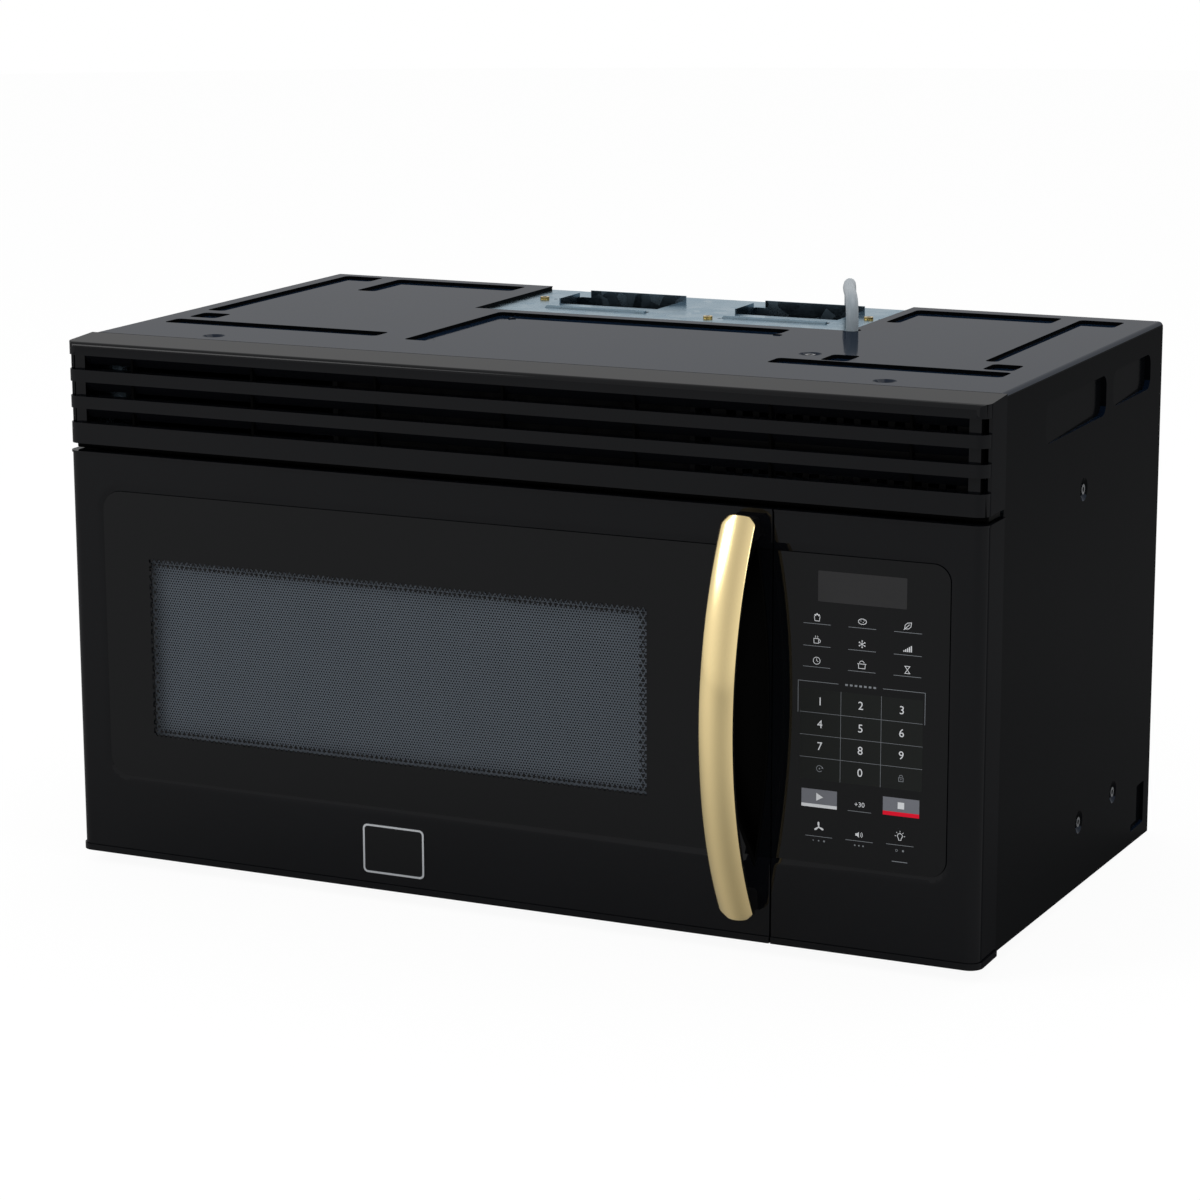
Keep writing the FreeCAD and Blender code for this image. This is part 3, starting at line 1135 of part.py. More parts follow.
def door_frame():
    """Painted frame of the door: front wall with the glass recess, side walls, bushes and notches."""
    x0, x1, z0, z1 = DOOR_LEFT, DOOR_RIGHT, BASE_LIFT, DOOR_TOP
    body = fronted(x0, x1, 0, FRAME_BACK, z0, z1, True, False)
    rim = fronted(x0, x1, 0, FRAME_BACK, z0, z0 + RIM_HEIGHT, True, False, RIM_PROUD)
    lip = fronted(x0, x1, 0, FRAME_BACK, z1 - LIP_HEIGHT, z1, True, False, LIP_PROUD)
    hollow = box(x0 + WALL, x1 - WALL, FRONT_WALL, FRAME_BACK + 1, z0 + WALL, z1 - WALL)
    shell = joined(body, rim, lip).cut(hollow)
    bush_z = [(z0 + HINGE_NOTCH, z0 + HINGE_NOTCH + BUSH_DEPTH),
              (z1 - HINGE_NOTCH - BUSH_DEPTH, z1 - HINGE_NOTCH)]
    added, holes = [], []
    for low, high in bush_z:
        added.append(box(x0 + WALL - 1, x0 + HINGE_REACH, FRONT_WALL - 1, FRAME_BACK, low - 3, high + 3))
    for low, high in [(z0 - 1, z0 + HINGE_NOTCH), (z1 - HINGE_NOTCH, z1 + 1)]:
        holes.append(box(x0 - 5, x0 + HINGE_REACH, HINGE_FRONT, FRAME_BACK + 1, low, high))
        added.append(box(x0 + WALL - 1, x0 + HINGE_REACH + WALL, HINGE_FRONT - WALL, FRAME_BACK,
                         max(low - WALL, z0 + 1), min(high + WALL, z1 - 1)))
    for low, high in bush_z:
        holes.append(rod("z", hinge_x(), HINGE_Y, low - 1, high + 1, HINGE_PIN + RUNNING))
    chamfer_front = FRONT_DEPTH - REAR_CHAMFER
    holes.append(prism("z", [(x0 - 5, chamfer_front), (x0, chamfer_front),
                             (x0 + REAR_CHAMFER, FRONT_DEPTH), (x0 - 5, FRONT_DEPTH)], z0 - 1, z1 + 1))
    latch_x = DOOR_RIGHT - LATCH_IN
    stop = box(latch_x - LATCH_WIDTH, DOOR_RIGHT - WALL + 1, FRONT_WALL + 10, FRAME_BACK,
               LATCH_HIGH + SPRING_LENGTH, LATCH_HIGH + SPRING_LENGTH + 8)
    gx0, gx1, gz0, gz1 = glass_edges()
    past = DOOR_RIGHT + 4 * GLASS_RADIUS
    holes.append(slab("y", gx0 - CLEAR / 2, past, gz0 - CLEAR / 2, gz1 + CLEAR / 2,
                      -2, GLASS_DROP + GLASS_THICK, GLASS_RADIUS))
    holes.append(bevelled_recess(gx0, past, gz0, gz1, GLASS_RADIUS))
    holes.append(slab("y", gx0 + GLASS_LAND, DOOR_RIGHT - POCKET_LEFT - 6, gz0 + GLASS_LAND,
                      gz1 - GLASS_LAND, -1, FRONT_WALL + 1, GLASS_RADIUS / 2))
    holes.append(lens_shape(-CLEAR / 2, -2, POCKET_DEPTH + POCKET_WALL + CLEAR))
    return joined(shell, *added, stop).cut(holes)


def door_glass():
    gx0, gx1, gz0, gz1 = glass_edges()
    glass = prism("y", rectangle(gx0, DOOR_RIGHT, gz0, gz1), GLASS_DROP, GLASS_DROP + GLASS_THICK,
                  [GLASS_RADIUS, 0, 0, GLASS_RADIUS])
    return glass.cut(lens_shape(-CLEAR / 2, -1, FRONT_WALL))


def finger_pocket():
    """Moulded scoop behind the handle."""
    outer = lens_shape(0, GLASS_DROP / 2, POCKET_DEPTH + POCKET_WALL)
    return outer.cut(lens_shape(POCKET_WALL, GLASS_DROP / 2 - 1, POCKET_DEPTH))


def window_rect(grow=0.0):
    x0 = DOOR_LEFT + WINDOW_LEFT
    z0 = BASE_LIFT + WINDOW_BOTTOM
    return (x0 - grow, DOOR_RIGHT - WINDOW_RIGHT + grow, z0 - grow, z0 + WINDOW_HEIGHT + grow)


def door_screen():
    """Sheet whose fine perforation keeps the microwaves in."""
    return slab("y", *window_rect(SCREEN_BORDER), SCREEN_FRONT, SCREEN_FRONT + SCREEN_THICK, 4.0)


def door_inner_panel():
    """Welded inner panel with the choke channel round the window."""
    front = SCREEN_FRONT + SCREEN_THICK
    x0, x1 = DOOR_LEFT + HINGE_REACH + WALL + 2, DOOR_RIGHT - POCKET_LEFT - 2
    z0, z1 = BASE_LIFT + CHOKE_MARGIN, DOOR_TOP - CHOKE_MARGIN
    t = CHOKE_WALL
    body = slab("y", x0, x1, z0, z1, front, FRAME_BACK, 6.0)
    channel = slab("y", x0 + t, x1 - t, z0 + t, z1 - t, front + t, FRAME_BACK + 1, 6.0 - t)
    island = slab("y", *window_rect(INNER_RIM), front, FRAME_BACK, 6.0)
    window = slab("y", *window_rect(INNER_RIM - t), front + t, FRAME_BACK + 1, 6.0 - t)
    hole = slab("y", *window_rect(), front - 1, front + t + 1, 3.0)
    return joined(body.cut(channel), island).cut([window, hole])


def choke_cover():
    """Moulded ring that closes the back of the door round the inner window."""
    x0, x1 = DOOR_LEFT + REAR_CHAMFER, DOOR_RIGHT - 1
    z0, z1 = BASE_LIFT + 2, DOOR_TOP - 2
    back = FRAME_BACK + CHOKE_THICK
    cover = slab("y", x0, x1, z0, z1, FRAME_BACK, back, 3.0)
    wx0, wx1, wz0, wz1 = window_rect(INNER_RIM - CHOKE_WALL)
    holes = [slab("y", wx0, wx1, wz0, wz1, FRAME_BACK - 1, back + 1, 5.0)]
    for low, high in [(z0 - 1, BASE_LIFT + HINGE_NOTCH), (DOOR_TOP - HINGE_NOTCH, z1 + 1)]:
        holes.append(box(x0 - 1, DOOR_LEFT + HINGE_REACH, FRAME_BACK - 1, back + 1, low, high))
    x = DOOR_RIGHT - LATCH_IN
    for z in HOOKS:
        holes.append(box(x - LATCH_WIDTH / 2 - CLEAR, x + LATCH_WIDTH / 2 + CLEAR, FRAME_BACK - 1, back + 1,
                         z - HOOK_HEIGHT / 2 - 4.5, z + HOOK_HEIGHT / 2 + LATCH_TRAVEL + 1))
    return cover.cut(holes)


def inner_window():
    wx0, wx1, wz0, wz1 = window_rect(INNER_RIM - CHOKE_WALL - CLEAR)
    return slab("y", wx0, wx1, wz0, wz1, FRAME_BACK + 0.8, FRAME_BACK + 2.6, 4.7)


def bow(depth):
    """Point set of the handle's bow, a depth behind its outer face: ends and crown."""
    low, high = BASE_LIFT + HANDLE_BOTTOM, BASE_LIFT + HANDLE_TOP
    return ((-HANDLE_END + depth, low), (-HANDLE_REACH + depth, (low + high) / 2),
            (-HANDLE_END + depth, high))


def handle_bar():
    """Bowed bar with a slightly crowned face and rounded edges."""
    x1 = DOOR_RIGHT - HANDLE_RIGHT
    x0 = x1 - HANDLE_WIDTH
    face, back = bow(0), bow(HANDLE_THICK)
    bar = wire_prism("x", [face[0], face[1] + ("arc",), face[2],
                           back[2], back[1] + ("arc",), back[0]], x0, x1)
    edges = [e for e in bar.Edges if e.Length > HANDLE_TOP / 2
             and e.BoundBox.YMin < -HANDLE_REACH + HANDLE_THICK / 2]
    return bar.makeFillet(HANDLE_EDGE, edges)


def handle_liner():
    """Dark inner body of the handle, with the two posts that stand on the door."""
    x1 = DOOR_RIGHT - HANDLE_RIGHT - LINER_INSET
    x0 = x1 - HANDLE_WIDTH + 2 * LINER_INSET
    front, back = bow(HANDLE_THICK), bow(HANDLE_THICK + LINER_THICK)
    low, high = front[0][1] + 3, front[2][1] - 3
    trim = box(x0 - 1, x1 + 1, -HANDLE_REACH, 0, low, high)
    body = wire_prism("x", [front[0], front[1] + ("arc",), front[2],
                            back[2], back[1] + ("arc",), back[0]], x0, x1)
    posts = []
    for z0, z1 in [(low, low + POST_HEIGHT), (high - POST_HEIGHT, high)]:
        posts.append(slab("y", x0, x1, z0, z1, -HANDLE_END - 4, 0, 4.0))
    bar_space = wire_prism("x", [(-HANDLE_REACH - 20, front[0][1] - 5), front[0], front[1] + ("arc",), front[2],
                                 (-HANDLE_REACH - 20, front[2][1] + 5)], x0 - 2, x1 + 2)
    return joined(body.common(trim), *posts).cut(bar_space)


def badge_plate():
    x0 = DOOR_LEFT + BADGE_LEFT
    z0 = BASE_LIFT + BADGE_BOTTOM
    plate = slab("y", x0, x0 + BADGE_SIZE[0], z0, z0 + BADGE_SIZE[1], -BADGE_THICK, 0, 4.0)
    field = slab("y", x0 + 1.5, x0 + BADGE_SIZE[0] - 1.5, z0 + 1.5, z0 + BADGE_SIZE[1] - 1.5,
                 -BADGE_THICK - 1, -BADGE_THICK + 0.3, 2.8)
    return plate.cut(field)


def door_hinges():
    """Upper and lower hinge brackets on the frame, each with its pin and collar."""
    x, y = hinge_x(), HINGE_Y
    brackets = []
    for base, way in [(BASE_LIFT, 1), (DOOR_TOP, -1)]:
        seat = base + way * HINGE_NOTCH
        leaf_z = sorted((seat - way * 4, seat - way * (4 + HINGE_LEAF)))
        leaf = prism("z", [(x - 5, y - 5.5), (x + 11, y - 5.5), (x + 11, CASE_FRONT), (x - 5, CASE_FRONT)],
                     leaf_z[0], leaf_z[1], [4, 4, 0, 0])
        flange_z = sorted((base + way * 1.5, seat - way * 1))
        flange = box(x - 5, x + 15, CASE_FRONT - 1.2, CASE_FRONT, flange_z[0], flange_z[1])
        collar_z = sorted((seat - way * 4.5, seat - way * CLEAR))
        collar = rod("z", x, y, collar_z[0], collar_z[1], COLLAR_RADIUS)
        pin_z = sorted((seat - way * 4.5, seat + way * PIN_LENGTH))
        brackets.append(joined(leaf, flange, collar, rod("z", x, y, pin_z[0], pin_z[1], HINGE_PIN)))
    return brackets


def latch_hook():
    """Sliding bar in the door with the two hooks that reach into the frame."""
    x = DOOR_RIGHT - LATCH_IN
    half = LATCH_WIDTH / 2
    back = FRAME_BACK - CLEAR
    bar = box(x - half, x + half, back - 12, back, LATCH_LOW, LATCH_HIGH)
    peg = rod("z", x, back - 6, LATCH_HIGH - 1, LATCH_HIGH + 8, SPRING_RADIUS - 1.2)
    hooks = []
    for z in HOOKS:
        h = HOOK_HEIGHT / 2
        corners = [(back - 1, z - h), (HOOK_END - 6, z - h), (HOOK_END - 6, z - h - 4),
                   (HOOK_END - 3, z - h - 4), (HOOK_END, z - h + 1), (HOOK_END - 4, z + h), (back - 1, z + h)]
        hooks.append(prism("x", corners, x - half, x + half))
    return joined(bar, peg, *hooks)


def latch_spring():
    """Return spring of the latch, as the sleeve that its turns fill."""
    x, y = DOOR_RIGHT - LATCH_IN, FRAME_BACK - CLEAR - 6
    return sleeve("z", x, y, LATCH_HIGH, LATCH_HIGH + SPRING_LENGTH, SPRING_RADIUS, SPRING_RADIUS - 0.9)


# ---- control panel ------------------------------------------------------------------------------
def display_rect(grow=0.0):
    x1 = RIGHT - DISPLAY_RIGHT
    z1 = BASE_LIFT + DISPLAY_TOP
    return (x1 - DISPLAY_SIZE[0] - grow, x1 + grow, z1 - DISPLAY_SIZE[1] - grow, z1 + grow)


def board_rect():
    x1 = RIGHT - BOARD_RIGHT
    z0 = BASE_LIFT + BOARD_BOTTOM
    return (x1 - BOARD_SIZE[0], x1, z0, z0 + BOARD_SIZE[1])


def control_panel():
    """Moulded front of the controls, with the same rim, lip and bevel as the door."""
    x0, x1, z0, z1 = PANEL_LEFT, RIGHT, BASE_LIFT, DOOR_TOP
    body = fronted(x0, x1, 0, FRONT_DEPTH, z0, z1, False, True)
    rim = fronted(x0, x1, 0, FRONT_DEPTH, z0, z0 + RIM_HEIGHT, False, True, RIM_PROUD)
    lip = fronted(x0, x1, 0, FRONT_DEPTH, z1 - LIP_HEIGHT, z1, False, True, LIP_PROUD)
    hollow = box(x0 + WALL, x1 - WALL, FRONT_WALL, FRONT_DEPTH + 1, z0 + WALL, z1 - WALL)
    shell = joined(body, rim, lip).cut(hollow)
    added = []
    bx0, bx1, bz0, bz1 = board_rect()
    for x in (bx0 + 5, bx1 - 5):
        for z in (bz0 + 5, bz1 - 5):
            added.append(rod("y", x, z, FRONT_WALL - 1, BOARD_FRONT, 3.5))
    for x in (x0 + WALL - 1, x1 - WALL - 9):
        for z in (z0 + WALL - 1, z1 - WALL - 9):
            added.append(box(x, x + 10, FRONT_DEPTH - 10, CASE_FRONT, z, z + 10))
    gx0, gx1, gz0, gz1 = glass_edges()
    past = PANEL_LEFT - 4 * GLASS_RADIUS
    holes = [slab("y", past, gx1 + CLEAR / 2, gz0 - CLEAR / 2, gz1 + CLEAR / 2,
                  -2, GLASS_DROP + GLASS_THICK, PANEL_GLASS_RADIUS),
             bevelled_recess(past, gx1, gz0, gz1, PANEL_GLASS_RADIUS),
             slab("y", *display_rect(2.0), -1, FRONT_WALL + 1, 2.0)]
    return joined(shell, *added).cut(holes)


def panel_glass():
    gx0, gx1, gz0, gz1 = glass_edges()
    glass = prism("y", rectangle(PANEL_LEFT, gx1, gz0, gz1), GLASS_DROP, GLASS_DROP + GLASS_THICK,
                  [0, PANEL_GLASS_RADIUS, PANEL_GLASS_RADIUS, 0])
    return glass.cut(slab("y", *display_rect(), 0, FRONT_WALL, 0.8))


def display_window():
    return slab("y", *display_rect(-CLEAR / 3), GLASS_DROP, GLASS_DROP + GLASS_THICK, 0.7)


def control_board():
    """Board on the panel's bosses, with the display block, relays and terminals."""
    x0, x1, z0, z1 = board_rect()
    back = BOARD_FRONT + BOARD_THICK
    board = slab("y", x0, x1, z0, z1, BOARD_FRONT, back, 2.0)
    dx0, dx1, dz0, dz1 = display_rect(-3.0)
    display = box(dx0, dx1, GLASS_DROP + GLASS_THICK + 2.5, BOARD_FRONT + 0.5, dz0, dz1)
    relays = [box(x0 + 12 + 30 * k, x0 + 30 + 30 * k, back - 0.5, back + 15, z0 + 24, z0 + 40)
              for k in range(3)]
    supply = box(x1 - 46, x1 - 12, back - 0.5, back + 15, z0 + 60, z0 + 92)
    terminals = [box(x0 + 10, x0 + 18, back - 0.5, back + 9, z0 + 70 + 24 * k, z0 + 88 + 24 * k)
                 for k in range(4)]
    return joined(board, display, supply, *relays, *terminals)


# ---- mains lead -----------------------------------------------------------------------------
def route():
    """Points of the lead where it isn't coiled, from the gland over the rear edge and down."""
    rear, top = CASE_REAR, HEIGHT
    over = [
        V(GLAND_X, rear + GLAND_Y, top - PLATE_DROP), V(GLAND_X, rear + GLAND_Y, top + 8.0),
        V(GLAND_X - 2.5, rear - 139.0, top + 17.5), V(GLAND_X - 7.5, rear - 127.0, top + 22.0),
        V(GLAND_X - 15.5, rear - 108.0, top + 22.5), V(GLAND_X - 27.5, rear - 79.0, top + 21.0),
        V(GLAND_X - 41.5, rear - 45.0, top + 19.5), V(GLAND_X - 58.0, rear + 2.0, top + 18.0),
        V(GLAND_X - 70.0, rear + 34.5, top - 14.5)]
    low = COIL_START + 40.0
    step = (top - 14.5 - low) / 6
    down = [V(35.0, 36.0, 1), V(29.0, 35.5, 2), V(21.5, 34.5, 3), V(14.5, 33.0, 4), V(5.5, 32.3, 5)]
    fall = [V(COIL_X + p.x, rear + p.y, top - 14.5 - step * p.z) for p in down]
    return over + fall + [V(COIL_X, rear + COIL_Y, low), V(COIL_X, rear + COIL_Y, COIL_START)]


def rounded_path(points):
    """Straight runs joined by tangent arcs, each as large as its two runs allow."""
    edges, radii, start = [], [], points[0]
    for before, corner, after in zip(points, points[1:], points[2:]):
        back, ahead = before - corner, after - corner
        run = min(back.Length, ahead.Length)
        back, ahead = back.normalize(), ahead.normalize()
        half = back.getAngle(ahead) / 2
        reach = 0.45 * run
        radius = reach * math.tan(half)
        middle = corner + (back + ahead).normalize() * (radius / math.sin(half) - radius)
        edges.append(Part.LineSegment(start, corner + back * reach).toShape())
        edges.append(Part.Arc(corner + back * reach, middle, corner + ahead * reach).toShape())
        start = corner + ahead * reach
        radii.append(radius)
    edges.append(Part.LineSegment(start, points[-1]).toShape())
    return Part.Wire(edges), radii


def tube(path):
    first = path.Edges[0]
    start, way = first.valueAt(first.FirstParameter), first.tangentAt(first.FirstParameter)
    ring = Part.Wire(Part.makeCircle(CORD_RADIUS, start, way))
    return path.makePipeShell([ring], True, False)


def power_cord():
    path, radii = rounded_path(route())
    cord = tube(path)
    section = math.pi * CORD_RADIUS ** 2
    print("lead radii", [round(r, 1) for r in radii])
    print("lead length", round(path.Length, 1), "volume ratio", round(cord.Volume / section / path.Length, 4))
    return cord


def coil_path():
    """Down to the floor in a quarter turn, then one opening turn and a straight tail."""
    x, y, z = COIL_X, CASE_REAR + COIL_Y, CORD_RADIUS + FLOOR_CLEAR
    drop = COIL_START - 2 * CORD_RADIUS - z
    turn = drop * math.sqrt(0.5)
    p = V(x - drop, y, z)
    edges = [Part.LineSegment(V(x, y, COIL_START), V(x, y, z + drop)).toShape(),
             Part.Arc(V(x, y, z + drop), V(x - drop + turn, y, z + drop - turn), p).toShape()]
    heading = V(-1, 0, 0)
    for k in range(QUARTERS):
        radius = COIL_RADIUS + COIL_GROWTH * k
        inward = V(heading.y, -heading.x, 0)
        centre = p + inward * radius
        end = centre + heading * radius
        middle = centre + (heading - inward).normalize() * radius
        edges.append(Part.Arc(p, middle, end).toShape())
        p, heading = end, inward
    edges.append(Part.LineSegment(p, p + heading * COIL_TAIL).toShape())
    return Part.Wire(edges), p + heading * COIL_TAIL


def cord_coil():
    path, tail = coil_path()
    points = [e.valueAt(e.FirstParameter + (e.LastParameter - e.FirstParameter) * k / 12)
              for e in path.Edges for k in range(13)]
    apart = [(p - q).Length for i, p in enumerate(points) for q in points[i + 18:]]
    print("coil length", round(path.Length, 1), "least gap", round(min(apart) - 2 * CORD_RADIUS, 2))
    return tube(path)


def cord_gland():
    """Strain relief: a plate under the exhaust plate's corner, with a tapered sleeve through it."""
    x, y = GLAND_X, CASE_REAR + GLAND_Y
    top = HEIGHT - PLATE_DROP
    under = top - PLATE_SHEET
    seat = box(x - GLAND_PLATE, x + GLAND_RADIUS, y - GLAND_RADIUS, y + GLAND_PLATE - GLAND_RADIUS,
               under - 3, under)
    sleeve_body = Part.makeCone(GLAND_RADIUS, GLAND_TIP, GLAND_LENGTH, V(x, y, top - GLAND_LENGTH))
    return joined(seat, sleeve_body)


def plug():
    """Moulded three-pin plug that lies on the floor beside the turn."""
    tail = coil_path()[1]
    long, wide, high = PLUG_SIZE
    x1 = tail.x - PLUG_NECK
    x0 = x1 - long
    level = FLOOR_CLEAR + high / 2
    neck = Part.makeLoft([outline("x", polygon(tail.y, tail.z, CORD_RADIUS, 12), tail.x),
                          outline("x", polygon(tail.y, level, high / 2 - 1, 12), x1)], True, True)
    body = slab("x", tail.y - wide / 2, tail.y + wide / 2, FLOOR_CLEAR, FLOOR_CLEAR + high, x0, x1, 5.0)
    blades = [box(x0 - PRONG, x0 + 1, tail.y + s - 0.75, tail.y + s + 0.75, level - 6, level + 0.3)
              for s in (-6.35, 6.35)]
    earth = rod("x", tail.y, level + 5.5, x0 - PRONG - 2, x0 + 1, 2.4)
    return joined(body, neck, earth, *blades)


def main():
    os.makedirs("parts", exist_ok=True)
    for build in (outer_case, cabinet_nuts, back_plate, base_pan, front_frame, cavity_box,
                  component_shelf, light_cover, cooktop_lamps, turntable_motor, drive_coupler,
                  glass_tray, roller_ring, waveguide, waveguide_cover, magnetron, transformer,
                  capacitor, cooling_fan_shroud, cooling_fan_motor, cooling_fan_blade, cavity_lamp,
                  interlock_bracket, interlock_switches, blower_housings, blower_motor, blower_shaft,
                  exhaust_plate, exhaust_screws, case_screws, vent_grille, charcoal_filter, vent_screen,
                  door_frame, door_glass, finger_pocket, door_screen, door_inner_panel, choke_cover,
                  inner_window, handle_bar, handle_liner, badge_plate, door_hinges, latch_hook,
                  latch_spring, control_panel, panel_glass, display_window, control_board,
                  cord_gland, power_cord, cord_coil, plug):
        made = build()
        save(build.__name__, *(made if isinstance(made, list) else [made]))
    save("grease_filter_left", grease_filter(-1))
    save("grease_filter_right", grease_filter(1))
    save("blower_wheels", *[blower_wheel(x0, x1) for x0, x1 in OUTLETS])
    for k in range(ROLLERS):
        save("roller_" + str(k + 1), roller(k))


main()
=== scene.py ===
"""Looks of an over the range microwave oven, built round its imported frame.

Every size is in metres unless its name ends in _mm. The front looks along -Y and +Z is up.
"""

import json
import logging
import math
from dataclasses import dataclass
from enum import Enum
from typing import Callable, ClassVar, Iterable, Optional, Sequence, Union

import bmesh
import bpy
from mathutils import Matrix, Vector

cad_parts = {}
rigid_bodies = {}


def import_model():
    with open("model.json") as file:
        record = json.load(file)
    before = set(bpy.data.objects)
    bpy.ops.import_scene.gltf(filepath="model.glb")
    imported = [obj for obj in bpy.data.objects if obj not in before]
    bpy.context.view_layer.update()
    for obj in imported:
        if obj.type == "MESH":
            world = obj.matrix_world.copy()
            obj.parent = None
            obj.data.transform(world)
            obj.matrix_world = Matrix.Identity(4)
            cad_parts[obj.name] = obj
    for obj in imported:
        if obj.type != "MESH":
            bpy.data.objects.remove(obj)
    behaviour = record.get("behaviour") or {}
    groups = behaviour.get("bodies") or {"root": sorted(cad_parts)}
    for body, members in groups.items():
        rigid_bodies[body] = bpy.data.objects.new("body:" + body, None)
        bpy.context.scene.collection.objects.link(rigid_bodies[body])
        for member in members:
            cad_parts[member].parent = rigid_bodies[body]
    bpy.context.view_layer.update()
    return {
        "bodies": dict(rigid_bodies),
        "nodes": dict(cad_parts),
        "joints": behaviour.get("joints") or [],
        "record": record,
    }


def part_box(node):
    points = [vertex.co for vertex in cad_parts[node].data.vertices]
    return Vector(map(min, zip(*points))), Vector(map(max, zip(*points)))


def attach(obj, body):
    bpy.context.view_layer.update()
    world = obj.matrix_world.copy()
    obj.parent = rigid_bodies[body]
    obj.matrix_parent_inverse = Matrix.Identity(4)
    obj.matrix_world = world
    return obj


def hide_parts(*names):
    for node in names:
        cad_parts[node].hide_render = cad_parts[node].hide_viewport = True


LOG = logging.getLogger("oven")
MM = 0.001
Point2 = tuple[float, float]
Value = Union[float, int, str, bool, Sequence[float], bpy.types.NodeSocket, bpy.types.Material]


# ---- nodes ------------------------------------------------------------------------------------
class Board:
    """Short way to place and join the nodes of one node tree."""

    def __init__(self, tree: bpy.types.NodeTree) -> None:
        """Work on a tree.

        Args:
            tree: The shader or geometry tree that takes the nodes.
        """
        self.tree = tree

    def add(self, kind: str, inputs: Optional[dict[Union[str, int], Value]] = None,
            **settings: Value) -> bpy.types.Node:
        """Place a node.

        Args:
            kind: The node's type name.
            inputs: Values or sockets for its inputs, by name or place.
            settings: Properties of the node itself.

        Returns:
            The new node.
        """
        node = self.tree.nodes.new(kind)
        for key, value in settings.items():
            setattr(node, key, value)
        for key, value in (inputs or {}).items():
            self.feed(node.inputs[key], value)
        return node

    def feed(self, socket: bpy.types.NodeSocket, value: Value) -> None:
        """Join a socket to another one, or give it a plain value.

        Args:
            socket: The input that takes the value.
            value: An output socket or a plain value.
        """
        if isinstance(value, bpy.types.NodeSocket):
            self.tree.links.new(value, socket)
        else:
            socket.default_value = value

    def maths(self, operation: str, first: Value, second: Value = 0.0) -> bpy.types.NodeSocket:
        """Result of one sum.

        Args:
            operation: Name of the operation, such as MULTIPLY.
            first: First number or socket.
            second: Second number or socket.

        Returns:
            The socket that holds the result.
        """
        return self.add("ShaderNodeMath", {0: first, 1: second}, operation=operation).outputs[0]


def socket(tree: bpy.types.NodeTree, name: str, kind: str, way: str = "INPUT",
           default: Optional[Value] = None) -> bpy.types.NodeTreeInterfaceSocket:
    """Add a named input or output to a node group.

    Args:
        tree: The group.
        name: Name of the socket.
        kind: Float, Int, Color, Vector, Geometry or Material.
        way: INPUT or OUTPUT.
        default: Its default value.

    Returns:
        The interface socket.
    """
    made = tree.interface.new_socket(name, in_out=way, socket_type="NodeSocket" + kind)
    if default is not None:
        made.default_value = default
    return made


def linear(code: str) -> tuple[float, float, float, float]:
    """Linear colour of a hex code.

    Args:
        code: Six hex digits of an sRGB colour.

    Returns:
        Red, green, blue and alpha.
    """
    parts = [int(code[i:i + 2], 16) / 255 for i in (0, 2, 4)]
    curve = [p / 12.92 if p <= 0.04045 else ((p + 0.055) / 1.055) ** 2.4 for p in parts]
    return (curve[0], curve[1], curve[2], 1.0)


class Effect(Enum):
    """Shared surface effects, each one shader group."""

    GRAIN = "fine grain"
    SMUDGE = "soft smudge"
    BRUSHED = "brushed"
    SPANGLE = "zinc spangle"
    # Painted highlight: tone that rolls from light to dark across the handle's bar.
    PAINTED_BAR_HIGHLIGHT = "painted bar highlight"


